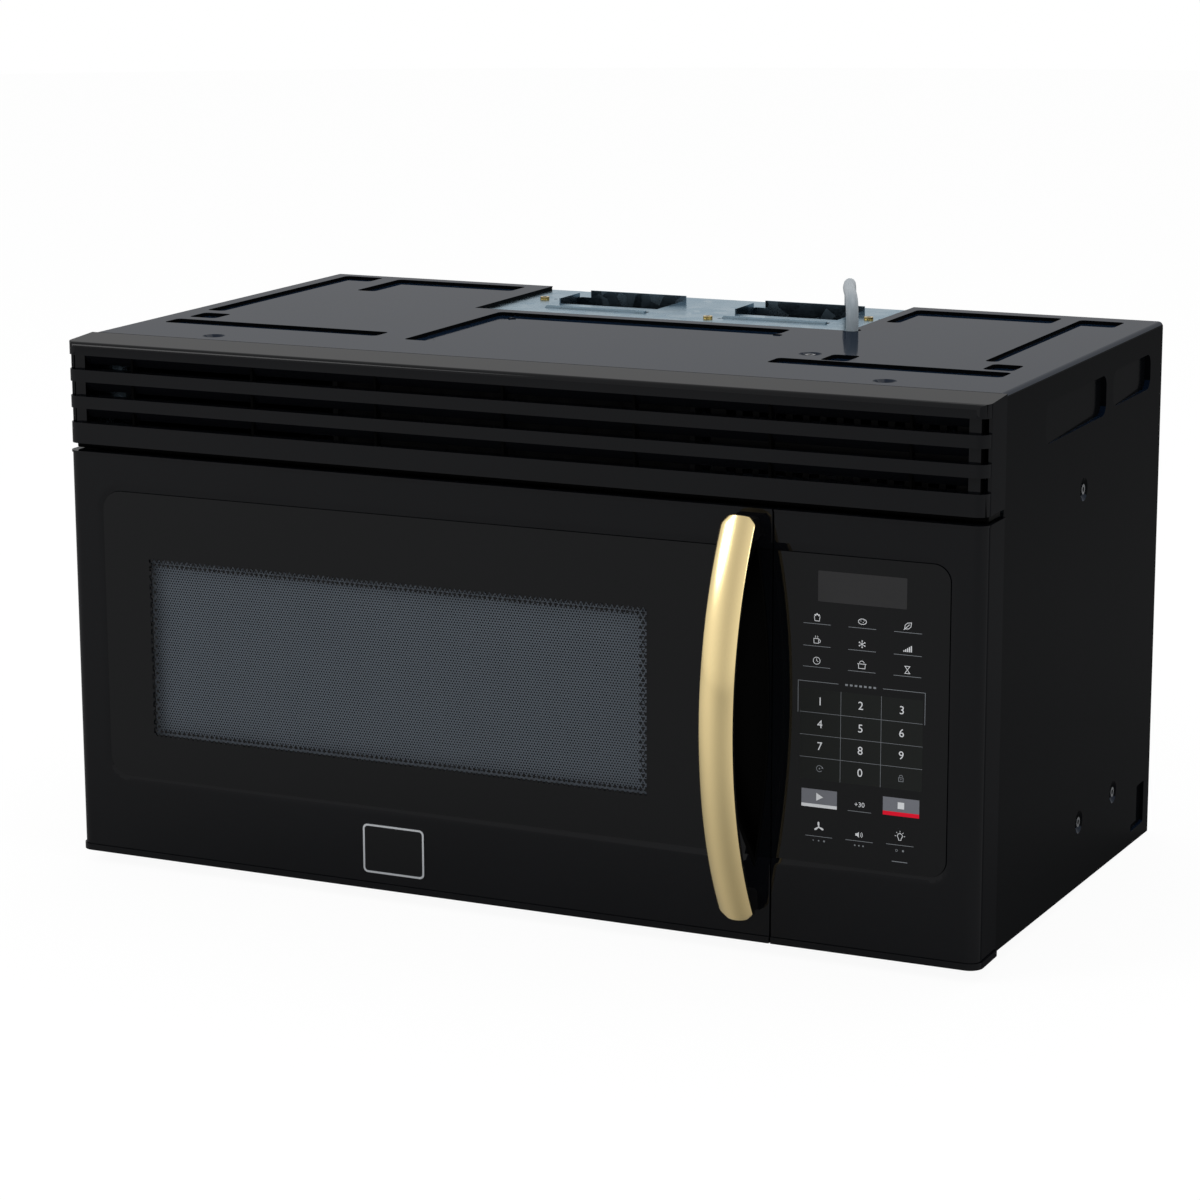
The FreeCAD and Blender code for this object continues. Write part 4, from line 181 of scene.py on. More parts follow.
class Effects:
    """Shader groups that several finishes use, each built once."""

    # Middle of the handle's bar, and how fast its painted highlight rolls over per metre across it.
    BAR_MIDDLE = 0.19825
    BAR_HIGHLIGHT_WAVE = 285.0
    SPECK_LEVEL = 0.72

    made: dict[Effect, bpy.types.NodeTree] = {}

    @classmethod
    def get(cls, effect: Effect) -> bpy.types.NodeTree:
        """Shader group of an effect.

        Args:
            effect: Which effect.

        Returns:
            The group, with inputs Scale and Contrast and outputs Value and Height.
        """
        if effect not in cls.made:
            build = {Effect.GRAIN: cls.grain, Effect.SMUDGE: cls.smudge,
                     Effect.BRUSHED: cls.brushed, Effect.SPANGLE: cls.spangle,
                     Effect.PAINTED_BAR_HIGHLIGHT: cls.crowned}[effect]
            tree = bpy.data.node_groups.new(effect.value, "ShaderNodeTree")
            socket(tree, "Scale", "Float", default=100.0)
            socket(tree, "Contrast", "Float", default=1.0)
            socket(tree, "Value", "Float", "OUTPUT")
            socket(tree, "Height", "Float", "OUTPUT")
            board = Board(tree)
            given = board.add("NodeGroupInput")
            place = board.add("ShaderNodeTexCoord").outputs["Object"]
            value, height = build(board, place, given.outputs["Scale"])
            centred = board.maths("SUBTRACT", value, 0.5)
            spread = board.maths("MULTIPLY", centred, given.outputs["Contrast"])
            result = board.add("NodeGroupOutput")
            board.feed(result.inputs["Value"], board.maths("ADD", spread, 0.5))
            board.feed(result.inputs["Height"], height)
            cls.made[effect] = tree
        return cls.made[effect]

    @staticmethod
    def noise(board: Board, place: Value, scale: Value, detail: float = 2.0) -> bpy.types.NodeSocket:
        """Noise over the surface.

        Args:
            board: Where the node goes.
            place: Coordinates.
            scale: How fine it is.
            detail: Octaves.

        Returns:
            The socket with the noise.
        """
        node = board.add("ShaderNodeTexNoise", {"Vector": place, "Scale": scale, "Detail": detail})
        return node.outputs["Fac"]

    @staticmethod
    def grain(board: Board, place: Value, scale: Value) -> tuple[bpy.types.NodeSocket, bpy.types.NodeSocket]:
        """Fine moulded or sprayed grain: value and height.

        Args:
            board: Where the nodes go.
            place: Coordinates on the piece.
            scale: How fine the pattern is.

        Returns:
            The value and the height.
        """
        fine = Effects.noise(board, place, scale, 3.0)
        broad = Effects.noise(board, place, board.maths("DIVIDE", scale, 40.0))
        value = board.maths("ADD", board.maths("MULTIPLY", fine, 0.6), board.maths("MULTIPLY", broad, 0.4))
        return value, fine

    @staticmethod
    def smudge(board: Board, place: Value, scale: Value) -> tuple[bpy.types.NodeSocket, bpy.types.NodeSocket]:
        """Wide soft patches with faint specks, as on wiped gloss: value and height.

        Args:
            board: Where the nodes go.
            place: Coordinates on the piece.
            scale: How fine the pattern is.

        Returns:
            The value and the height.
        """
        broad = Effects.noise(board, place, scale, 4.0)
        fine = Effects.noise(board, place, board.maths("MULTIPLY", scale, 60.0))
        speck = board.maths("MULTIPLY", board.maths("GREATER_THAN", fine, Effects.SPECK_LEVEL), 0.5)
        return board.maths("ADD", broad, speck), fine

    @staticmethod
    def brushed(board: Board, place: Value, scale: Value) -> tuple[bpy.types.NodeSocket, bpy.types.NodeSocket]:
        """Short fine lines that run up and down: value and height.

        Args:
            board: Where the nodes go.
            place: Coordinates on the piece.
            scale: How fine the pattern is.

        Returns:
            The value and the height.
        """
        turned = board.add("ShaderNodeMapping", {"Vector": place, "Scale": (1.0, 1.0, 0.03)})
        lines = Effects.noise(board, turned.outputs["Vector"], scale, 4.0)
        return lines, lines

    @staticmethod
    def crowned(board: Board, place: Value, scale: Value) -> tuple[bpy.types.NodeSocket, bpy.types.NodeSocket]:
        """Brushed bar with a painted highlight whose tone rolls from light to dark across its crown: value and
        height.

        Args:
            board: Where the nodes go.
            place: Coordinates on the piece.
            scale: How fine the pattern is.

        Returns:
            The value and the height.
        """
        middle = board.add("ShaderNodeMapping", {"Vector": place, "Location": (-Effects.BAR_MIDDLE, 0.0, 0.0)})
        across = board.add("ShaderNodeSeparateXYZ", {0: middle.outputs["Vector"]}).outputs[0]
        wave = board.maths("SINE", board.maths("MULTIPLY", across, Effects.BAR_HIGHLIGHT_WAVE))
        # Painted highlight: a sine across the bar, light on one side of the crown and dark on the other.
        roll = board.maths("MULTIPLY", wave, -0.42)
        lines, height = Effects.brushed(board, place, scale)
        fine = board.maths("MULTIPLY", lines, 0.16)
        return board.maths("ADD", board.maths("ADD", roll, 0.42), fine), height

    @staticmethod
    def spangle(board: Board, place: Value, scale: Value) -> tuple[bpy.types.NodeSocket, bpy.types.NodeSocket]:
        """Crystal patches of hot-dipped zinc: value and height.

        Args:
            board: Where the nodes go.
            place: Coordinates on the piece.
            scale: How fine the pattern is.

        Returns:
            The value and the height.
        """
        cells = board.add("ShaderNodeTexVoronoi", {"Vector": place, "Scale": scale})
        tone = board.add("ShaderNodeSeparateColor", {"Color": cells.outputs["Color"]}).outputs[0]
        fine = Effects.noise(board, place, board.maths("MULTIPLY", scale, 8.0), 3.0)
        return board.maths("ADD", board.maths("MULTIPLY", tone, 0.7), board.maths("MULTIPLY", fine, 0.3)), fine


@dataclass(frozen=True)
class Finish:
    """A finish of the surface, from one colour and one shared effect."""

    name: str
    colour: str
    roughness: float = 0.4
    metallic: float = 0.0
    specular: float = 0.5
    edge: str = "ffffff"
    coat: float = 0.0
    coat_roughness: float = 0.03
    transmission: float = 0.0
    ior: float = 1.5
    alpha: float = 1.0
    effect: Effect = Effect.GRAIN
    scale: float = 900.0
    tint: float = 0.12
    rough_spread: float = 0.06
    bump: float = 0.00001
    glow: float = 0.0
    made: ClassVar[dict[str, bpy.types.Material]] = {}

    def material(self) -> bpy.types.Material:
        """Material of this finish, built the first time.

        Returns:
            The material.
        """
        if self.name in self.made:
            return self.made[self.name]
        material = self.made[self.name] = bpy.data.materials.new(self.name)
        material.use_nodes = True
        board = Board(material.node_tree)
        shader = material.node_tree.nodes["Principled BSDF"]
        group = board.add("ShaderNodeGroup", node_tree=Effects.get(self.effect))
        group.inputs["Scale"].default_value = self.scale
        value, height = group.outputs["Value"], group.outputs["Height"]
        colour = linear(self.colour)
        dark = tuple(c * (1 - self.tint) for c in colour[:3]) + (1.0,)
        light = tuple(min(1.0, c * (1 + self.tint)) for c in colour[:3]) + (1.0,)
        mix = board.add("ShaderNodeMix", data_type="RGBA")
        for name, given in (("Factor_Float", value), ("A_Color", dark), ("B_Color", light)):
            board.feed(next(s for s in mix.inputs if s.identifier == name), given)
        shade = next(s for s in mix.outputs if s.identifier == "Result_Color")
        board.feed(shader.inputs["Base Color"], shade)
        rough = board.add("ShaderNodeMapRange", {
            "Value": value, "To Min": max(0.0, self.roughness - self.rough_spread),
            "To Max": min(1.0, self.roughness + self.rough_spread)})
        board.feed(shader.inputs["Roughness"], rough.outputs[0])
        bump = board.add("ShaderNodeBump", {"Height": height, "Distance": self.bump, "Strength": 1.0})
        board.feed(shader.inputs["Normal"], bump.outputs[0])
        for name, number in (("Metallic", self.metallic), ("Specular IOR Level", self.specular),
                             ("Coat Weight", self.coat), ("Coat Roughness", self.coat_roughness),
                             ("Transmission Weight", self.transmission), ("IOR", self.ior),
                             ("Alpha", self.alpha)):
            shader.inputs[name].default_value = number
        shader.inputs["Specular Tint"].default_value = linear(self.edge)
        # Emission here is painted glow on a surface that is no lamp.
        if self.glow:
            board.feed(shader.inputs["Emission Color"], shade)
            shader.inputs["Emission Strength"].default_value = self.glow
        return material


# Gloss of the front, the sheet metal and the metal and plastic parts inside.
FRONT_BLACK = Finish("front_gloss", "08090c", 0.4, specular=0.0, coat=0.29, coat_roughness=0.04,
                     effect=Effect.SMUDGE, scale=9.0, tint=0.25, bump=0.0)
# Darker copy of the front gloss with little coat for faces that look left or right, painted shade.
FRONT_SIDE_PAINTED_SHADE = Finish("front_gloss_side_painted_shade", "06070a", 0.4, specular=0.0, coat=0.08, coat_roughness=0.06,
                    effect=Effect.SMUDGE, scale=9.0, tint=0.25, bump=0.0)
GLASS_BLACK = Finish("printed_glass", "060709", 0.3, specular=0.0, coat=0.36, coat_roughness=0.015,
                     effect=Effect.SMUDGE, scale=7.0, tint=0.2, bump=0.0)
# Top of the case: a bluish base and a stronger coat, a painted sheen that stands in for the mirrored sky on
# the same enamel.
ENAMEL_TOP_PAINTED_SHEEN = Finish("case_enamel", "0b1726", 0.4, specular=0.0, coat=0.25, coat_roughness=0.07,
                    effect=Effect.GRAIN, scale=500.0, tint=0.2, bump=0.000003)
# Sides of the case: a darker copy of the same enamel with little coat, painted shade.
ENAMEL_SIDE_PAINTED_SHADE = Finish("case_enamel_side_painted_shade", "07080a", 0.45, specular=0.0, coat=0.06, coat_roughness=0.13,
                     effect=Effect.GRAIN, scale=500.0, tint=0.2, bump=0.000005)
SATIN_BLACK = Finish("moulded_black", "0b0b0c", 0.45, specular=0.12, tint=0.3)
# Near black that paints shade: screw recesses, the grille's deep faces, the finger pocket and the strip in the
# gap over the door.
PAINTED_SHADE_BLACK = Finish("painted_shade_black", "020202", 0.6, specular=0.02, tint=0.3)
# Champagne metal with a painted highlight rolling across the bar, standing in for the reflection of its
# crowned face.
CHAMPAGNE = Finish("champagne_metal", "dcc794", 0.2, metallic=1.0, effect=Effect.PAINTED_BAR_HIGHLIGHT,
                   scale=1500.0, tint=0.24, rough_spread=0.02, bump=0.000002)
BADGE_METAL = Finish("badge_metal", "c9ccd0", 0.22, metallic=1.0, effect=Effect.BRUSHED, scale=2500.0)
GALVANISED = Finish("zinc_sheet", "5d6d78", 0.24, metallic=1.0, edge="dceaf2", effect=Effect.SPANGLE,
                    scale=85.0, tint=0.3, rough_spread=0.08, bump=0.000003)
STEEL = Finish("bright_steel", "a6a9ac", 0.28, metallic=1.0, effect=Effect.BRUSHED, scale=1800.0)
DARK_STEEL = Finish("dark_steel", "53565a", 0.38, metallic=1.0)
BRASS = Finish("brass_plate", "b59a5a", 0.3, metallic=1.0, scale=1500.0)
OVEN_ENAMEL = Finish("oven_enamel", "8d9092", 0.3, specular=0.4, effect=Effect.GRAIN, scale=1600.0,
                     tint=0.16, bump=0.000008)
TRAY_GLASS = Finish("tray_glass", "e8f1ee", 0.04, transmission=1.0, ior=1.47, effect=Effect.SMUDGE,
                    scale=14.0, tint=0.02, rough_spread=0.02, bump=0.0)
CLEAR_LENS = Finish("clear_lens", "f0f2f0", 0.12, transmission=1.0, ior=1.49, effect=Effect.SMUDGE,
                    scale=20.0, tint=0.02, rough_spread=0.03, bump=0.0)
SMOKED = Finish("smoked_window", "0b0d10", 0.2, specular=0.0, coat=0.3, coat_roughness=0.015, alpha=0.3,
                effect=Effect.SMUDGE, scale=7.0, bump=0.0)
SCREEN_METAL = Finish("screen_metal", "a3afbd", 0.42, specular=0.3, tint=0.1, scale=1200.0)
# Dark discs that paint the shade seen through the screen's holes.
HOLE_SHADE = Finish("screen_hole", "12151a", 0.7, specular=0.05)
WHITE_PLASTIC = Finish("white_moulding", "dcdcd6", 0.42, scale=1500.0, tint=0.05)
CIRCUIT = Finish("circuit_board", "1f5a38", 0.35, scale=700.0, tint=0.2)
DISPLAY = Finish("display_filter", "2f2f30", 0.25, specular=0.0, coat=0.25, effect=Effect.SMUDGE,
                 scale=18.0, tint=0.08, bump=0.0)
KEY_CELL = Finish("key_cell", "1b1d1c", 0.4, specular=0.1, scale=1500.0, tint=0.1)
# The prints glow a little, painted light that lifts them as if lit.
WHITE_PRINT = Finish("white_print", "cfd1d4", 0.5, specular=0.1, scale=3000.0, tint=0.05, glow=0.12)
GREY_PRINT = Finish("grey_print", "7d8186", 0.5, specular=0.1, scale=3000.0, tint=0.06, glow=0.08)
RED_PRINT = Finish("red_print", "d8102c", 0.45, specular=0.1, scale=3000.0, tint=0.06, glow=0.12)
START_KEY = Finish("start_key", "74767d", 0.4, specular=0.1, scale=3000.0, tint=0.05)
LEAD_RUBBER = Finish("lead_rubber", "8a949b", 0.42, specular=0.35, scale=2200.0, tint=0.1, bump=0.00002)
CHARCOAL = Finish("charcoal_media", "1b1b1c", 0.8, specular=0.1, scale=900.0, tint=0.5, bump=0.0002)
ALUMINIUM = Finish("aluminium_mesh", "b4b7b9", 0.3, metallic=1.0, scale=2600.0)
COPPER = Finish("motor_lacquer", "6b3d22", 0.4, metallic=0.6, effect=Effect.BRUSHED, scale=700.0)
BULB = Finish("lamp_glass_clear", "fff4dc", 0.1, transmission=0.6, ior=1.45, effect=Effect.SMUDGE, scale=40.0)


# ---- meshes -----------------------------------------------------------------------------------
def placed(name: str, mesh: bpy.types.Mesh, *finishes: Finish) -> bpy.types.Object:
    """Object at the origin with its finishes.

    Args:
        name: Name of the piece.
        mesh: Its mesh, already in place.
        finishes: One finish for each material slot.

    Returns:
        The object.
    """
    mesh.materials.clear()
    for finish in finishes:
        mesh.materials.append(finish.material())
    piece = bpy.data.objects.new(name, mesh)
    bpy.context.scene.collection.objects.link(piece)
    return piece


def from_bmesh(name: str, bm: bmesh.types.BMesh, *finishes: Finish, smooth: float = 0.0) -> bpy.types.Object:
    """Object from a bmesh, with outward normals.

    Args:
        name: Name of the piece.
        bm: The mesh, freed here.
        finishes: One finish for each material slot.
        smooth: Edges under this angle are shaded smooth.

    Returns:
        The object.
    """
    mesh = bpy.data.meshes.new(name)
    bm.to_mesh(mesh)
    bm.free()
    if smooth:
        mesh.shade_smooth()
        mesh.set_sharp_from_angle(angle=smooth)
    return placed(name, mesh, *finishes)


def applied(piece: bpy.types.Object) -> bpy.types.Object:
    """Turn a piece's modifiers into its own mesh.

    Args:
        piece: The piece with modifiers.

    Returns:
        The same piece, with none left.
    """
    graph = bpy.context.evaluated_depsgraph_get()
    mesh = bpy.data.meshes.new_from_object(piece.evaluated_get(graph), preserve_all_data_layers=True,
                                           depsgraph=graph)
    piece.modifiers.clear()
    piece.data = mesh
    return piece


# Edges sharper than this are eased, and points or faces closer than these are one.
SOFT_ANGLE = math.radians(32)
FLAT_ANGLE = math.radians(0.6)
SAME_POINT = 2e-6
NO_LENGTH = 1e-6


def softened(frame: dict, node: str, width: float, *finishes: Finish,
             choose: Optional[Callable[[bpy.types.MeshPolygon], int]] = None,
             segments: int = 2) -> bpy.types.Object:
    """Copy of a CAD node whose sharp edges are eased, which stands for the node.

    Args:
        frame: The loaded frame.
        node: Name of the node.
        width: Width of the eased edge.
        finishes: One finish for each material slot.
        choose: Gives the slot of a face from the face, where there are several.
        segments: Faces across each eased edge.

    Returns:
        The piece.
    """
    bm = bmesh.new()
    bm.from_mesh(frame["nodes"][node].data)
    bmesh.ops.remove_doubles(bm, verts=bm.verts, dist=SAME_POINT)
    bmesh.ops.dissolve_degenerate(bm, edges=bm.edges, dist=NO_LENGTH)
    bmesh.ops.dissolve_limit(bm, angle_limit=FLAT_ANGLE, verts=bm.verts, edges=bm.edges)
    piece = from_bmesh("eased_" + node, bm, *finishes)
    piece.data.shade_smooth()
    edge = piece.modifiers.new("edge", "BEVEL")
    edge.width = width
    edge.segments = segments
    edge.limit_method = "ANGLE"
    edge.angle_limit = SOFT_ANGLE
    weigh = piece.modifiers.new("weigh", "WEIGHTED_NORMAL")
    weigh.keep_sharp = True
    applied(piece)
    if choose:
        for face in piece.data.polygons:
            face.material_index = choose(face)
    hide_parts(node)
    return piece


SIDEWAYS = 0.95


def shaded_side_slot(face: bpy.types.MeshPolygon) -> int:
    """Slot 1, the darker copy that paints shade, for a face that looks to the left or right, else slot 0."""
    return int(abs(face.normal.x) > SIDEWAYS)


def dress(frame: dict, finish: Finish, *nodes: str) -> None:
    """Give CAD nodes a finish.

    Args:
        frame: The loaded frame.
        finish: The finish.
        nodes: Names of the nodes.
    """
    for node in nodes:
        piece = frame["nodes"][node]
        if not piece.material_slots:
            piece.data.materials.append(None)
        for place in piece.material_slots:
            place.material = finish.material()


def ride(piece: bpy.types.Object, body: str) -> bpy.types.Object:
    """Make a piece move with a body and log it.

    Args:
        piece: The piece.
        body: Name of the body.

    Returns:
        The piece.
    """
    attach(piece, body)
    LOG.info("%s rides on %s", piece.name, body)
    return piece


class Sheet:
    """Flat printed marks on a front: x to the right and z up, drawn in millimetres."""

    LIFT_MM = 0.003
    FIGURE_SHARE = 0.7
    LEAST_MITRE = 0.4

    def __init__(self) -> None:
        """Start an empty sheet."""
        self.bm = bmesh.new()
        self.level = 0.0

    def face(self, points: Iterable[Point2]) -> None:
        """Fill an outline; each mark lies a hair above the one before it.

        Args:
            points: Corners, as x and z.
        """
        made = self.bm.faces.new([self.bm.verts.new((x, -self.level, z)) for x, z in points])
        made.normal_update()
        if made.normal.y > 0:
            made.normal_flip()

    def lift(self) -> None:
        """Move the next mark a hair forward."""
        self.level += self.LIFT_MM

    def bar(self, x0: float, x1: float, z0: float, z1: float) -> None:
        """Filled rectangle."""
        self.lift()
        self.face([(x0, z0), (x1, z0), (x1, z1), (x0, z1)])

    def disc(self, x: float, z: float, radius: float, squash: float = 1.0, steps: int = 20) -> None:
        """Filled circle or ellipse.

        Args:
            x: Middle.
            z: Height of the middle.
            radius: Its radius.
            squash: Height over width.
            steps: Corners round it.
        """
        self.lift()
        turn = 2 * math.pi / steps
        self.face([(x + radius * math.cos(k * turn), z + radius * squash * math.sin(k * turn))
                   for k in range(steps)])

    def stroke(self, points: Sequence[Point2], width: float = 0.45) -> None:
        """Line of even width through points, mitred at each.

        Args:
            points: The points.
            width: Width of the line.
        """
        self.lift()
        spots = [Vector(p) for p in points]
        closed = (spots[0] - spots[-1]).length < NO_LENGTH
        if closed:
            spots.pop()
        count = len(spots)
        left, right = [], []
        for i, spot in enumerate(spots):
            back = spots[i - 1] if closed or i else spot * 2 - spots[1]
            inner = closed or i < count - 1
            ahead = spots[(i + 1) % count] if inner else spot * 2 - spots[i - 1]
            way_in, way_out = (spot - back).normalized(), (ahead - spot).normalized()
            across = Vector((-(way_in + way_out).y, (way_in + way_out).x)).normalized()
            mitre = across.dot(Vector((-way_in.y, way_in.x)))
            reach = width / 2 / max(self.LEAST_MITRE, mitre)
            left.append(spot + across * reach)
            right.append(spot - across * reach)
        for i in range(count if closed else count - 1):
            j = (i + 1) % count
            self.face([tuple(p) for p in (left[i], left[j], right[j], right[i])])

    def arc(self, x: float, z: float, radius: float, start: float, end: float, width: float = 0.45) -> None:
        """Part of a circle, from one angle to another in degrees.

        Args:
            x: Middle.
            z: Height of the middle.
            radius: Its radius.
            start: First angle.
            end: Last angle.
            width: Width of the line.
        """
        steps = max(6, int(abs(end - start) / 15))
        turn = [math.radians(start + (end - start) * k / steps) for k in range(steps + 1)]
        points = [(x + radius * math.cos(a), z + radius * math.sin(a)) for a in turn]
        self.stroke(points, width)

    def text(self, words: str, x: float, z: float, height: float) -> None:
        """Plain figures, centred on a point.

        Args:
            words: The figures.
            x: Middle of the word.
            z: Middle of its height.
            height: Height of a figure.
        """
        self.lift()
        curve = bpy.data.curves.new("figures", "FONT")
        curve.body = words
        curve.align_x, curve.align_y = "CENTER", "CENTER"
        curve.size = height / self.FIGURE_SHARE
        curve.resolution_u = 4
        holder = bpy.data.objects.new("figures", curve)
        bpy.context.scene.collection.objects.link(holder)
        graph = bpy.context.evaluated_depsgraph_get()
        mesh = bpy.data.meshes.new_from_object(holder.evaluated_get(graph))
        upright = Matrix.Rotation(math.pi / 2, 4, "X")
        mesh.transform(Matrix.Translation((x, -self.level, z)) @ upright)
        self.bm.from_mesh(mesh)
        bpy.data.objects.remove(holder)
        bpy.data.curves.remove(curve)
        bpy.data.meshes.remove(mesh)

    def piece(self, name: str, origin: Vector, finish: Finish) -> bpy.types.Object:
        """Finished print.

        Args:
            name: Name of the piece.
            origin: Where the sheet's zero point lies.
            finish: Its finish.

        Returns:
            The object.
        """
        matrix = Matrix.Translation(origin) @ Matrix.Scale(MM, 4)
        bmesh.ops.transform(self.bm, verts=self.bm.verts, matrix=matrix)
        return from_bmesh(name, self.bm, finish)


def block(bm: bmesh.types.BMesh, low: Sequence[float], high: Sequence[float]) -> None:
    """Add a box between two corners.

    Args:
        bm: The mesh.
        low: Lowest corner.
        high: Highest corner.
    """
    middle = [(a + b) / 2 for a, b in zip(low, high)]
    size = [b - a for a, b in zip(low, high)]
    bmesh.ops.create_cube(bm, size=1.0, matrix=Matrix.Translation(middle) @ Matrix.Diagonal((*size, 1.0)))


# ---- patterns that repeat ---------------------------------------------------------------------
class Pattern:
    """Geometry Nodes tree with named inputs, used on an object and turned into a plain mesh."""

    title = "pattern"
    numbers: dict[str, float] = {}
    vectors: dict[str, Sequence[float]] = {"Place": (0.0, 0.0, 0.0)}
    materials: tuple[str, ...] = ("Finish",)

    def __init__(self) -> None:
        """Build the tree once."""
        self.tree = bpy.data.node_groups.new(self.title, "GeometryNodeTree")
        socket(self.tree, "Geometry", "Geometry")
        for name, default in self.numbers.items():
            socket(self.tree, name, "Float", default=default)
        for name, default in self.vectors.items():
            socket(self.tree, name, "Vector", default=default)
        for name in self.materials:
            socket(self.tree, name, "Material")
        socket(self.tree, "Geometry", "Geometry", "OUTPUT")
        board = Board(self.tree)
        given = board.add("NodeGroupInput").outputs
        result = self.build(board, given)
        whole = board.add("GeometryNodeRealizeInstances", {0: result})
        board.feed(board.add("NodeGroupOutput").inputs[0], self.finish(board, given, whole.outputs[0]))

    def build(self, board: Board, given: bpy.types.NodeOutputs) -> bpy.types.NodeSocket:
        """Shapes of the pattern, from the tree's inputs."""
        raise NotImplementedError

    def finish(self, board: Board, given: bpy.types.NodeOutputs,
               shapes: bpy.types.NodeSocket) -> bpy.types.NodeSocket:
        """Give the realised shapes their material."""
        inputs = {"Geometry": shapes, "Material": given["Finish"]}
        return board.add("GeometryNodeSetMaterial", inputs).outputs[0]

    def piece(self, name: str, values: dict[str, Value], finishes: dict[str, Finish],
              points: Optional[bpy.types.Mesh] = None) -> bpy.types.Object:
        """Plain mesh piece of this pattern.

        Args:
            name: Name of the piece.
            values: Values of the tree's inputs.
            finishes: Finish of each material input.
            points: Mesh whose points carry the pattern, where it needs one.

        Returns:
            The piece.
        """
        mesh = points or bpy.data.meshes.new(name)
        piece = bpy.data.objects.new(name, mesh)
        bpy.context.scene.collection.objects.link(piece)
        modifier = piece.modifiers.new("pattern", "NODES")
        modifier.node_group = self.tree
        given = {**values, **{key: finish.material() for key, finish in finishes.items()}}
        for item in self.tree.interface.items_tree:
            if item.in_out == "INPUT" and item.name in given:
                modifier[item.identifier] = given[item.name]
        return applied(piece)


class DotField(Pattern):
    """Staggered rows of small dots on an upright sheet that looks along -Y."""

    title = "dot field"
    numbers = {"Width": 0.4, "Height": 0.1, "Pitch": 0.002, "Dot": 0.0006, "Hollow Width": 0.0,
               "Hollow Height": 0.0}

    def build(self, board: Board, given: bpy.types.NodeOutputs) -> bpy.types.NodeSocket:
        """Grid whose odd rows are shifted, with a disc on each point outside the hollow middle.

        Args:
            board: Where the nodes go.
            given: Inputs of the tree.

        Returns:
            The socket with the shapes.
        """
        step = board.maths("MULTIPLY", given["Pitch"], math.sqrt(0.75))
        across = board.maths("FLOOR", board.maths("DIVIDE", given["Width"], given["Pitch"]))
        up = board.maths("FLOOR", board.maths("DIVIDE", given["Height"], step))
        grid = board.add("GeometryNodeMeshGrid", {
            "Size X": board.maths("MULTIPLY", board.maths("SUBTRACT", across, 1.0), given["Pitch"]),
            "Size Y": board.maths("MULTIPLY", board.maths("SUBTRACT", up, 1.0), step),
            "Vertices X": across, "Vertices Y": up})
        row = board.maths("MODULO", board.add("GeometryNodeInputIndex").outputs[0], up)
        odd = board.maths("SUBTRACT", board.maths("MODULO", row, 2.0), 0.5)
        shift = board.add("ShaderNodeCombineXYZ", {
            "X": board.maths("MULTIPLY", odd, board.maths("MULTIPLY", given["Pitch"], 0.5))})
        moved = board.add("GeometryNodeSetPosition", {
            "Geometry": grid.outputs["Mesh"], "Offset": shift.outputs[0]})
        position = board.add("GeometryNodeInputPosition").outputs[0]
        spot = board.add("ShaderNodeSeparateXYZ", {0: position}).outputs
        inner = [board.maths("LESS_THAN", board.maths("ABSOLUTE", spot[k]),
                             board.maths("MULTIPLY", given[name], 0.5))
                 for k, name in ((0, "Hollow Width"), (1, "Hollow Height"))]
        kept = board.add("GeometryNodeDeleteGeometry", {
            "Geometry": moved.outputs[0], "Selection": board.maths("MULTIPLY", *inner)})
        dot = board.add("GeometryNodeMeshCircle", {"Vertices": 6, "Radius": given["Dot"]},
                        fill_type="NGON")
        dots = board.add("GeometryNodeInstanceOnPoints", {
            "Points": kept.outputs[0], "Instance": dot.outputs[0]})
        stood = board.add("GeometryNodeTransform", {
            "Geometry": dots.outputs[0], "Translation": given["Place"],
            "Rotation": (math.pi / 2, 0.0, 0.0)})
        return stood.outputs[0]


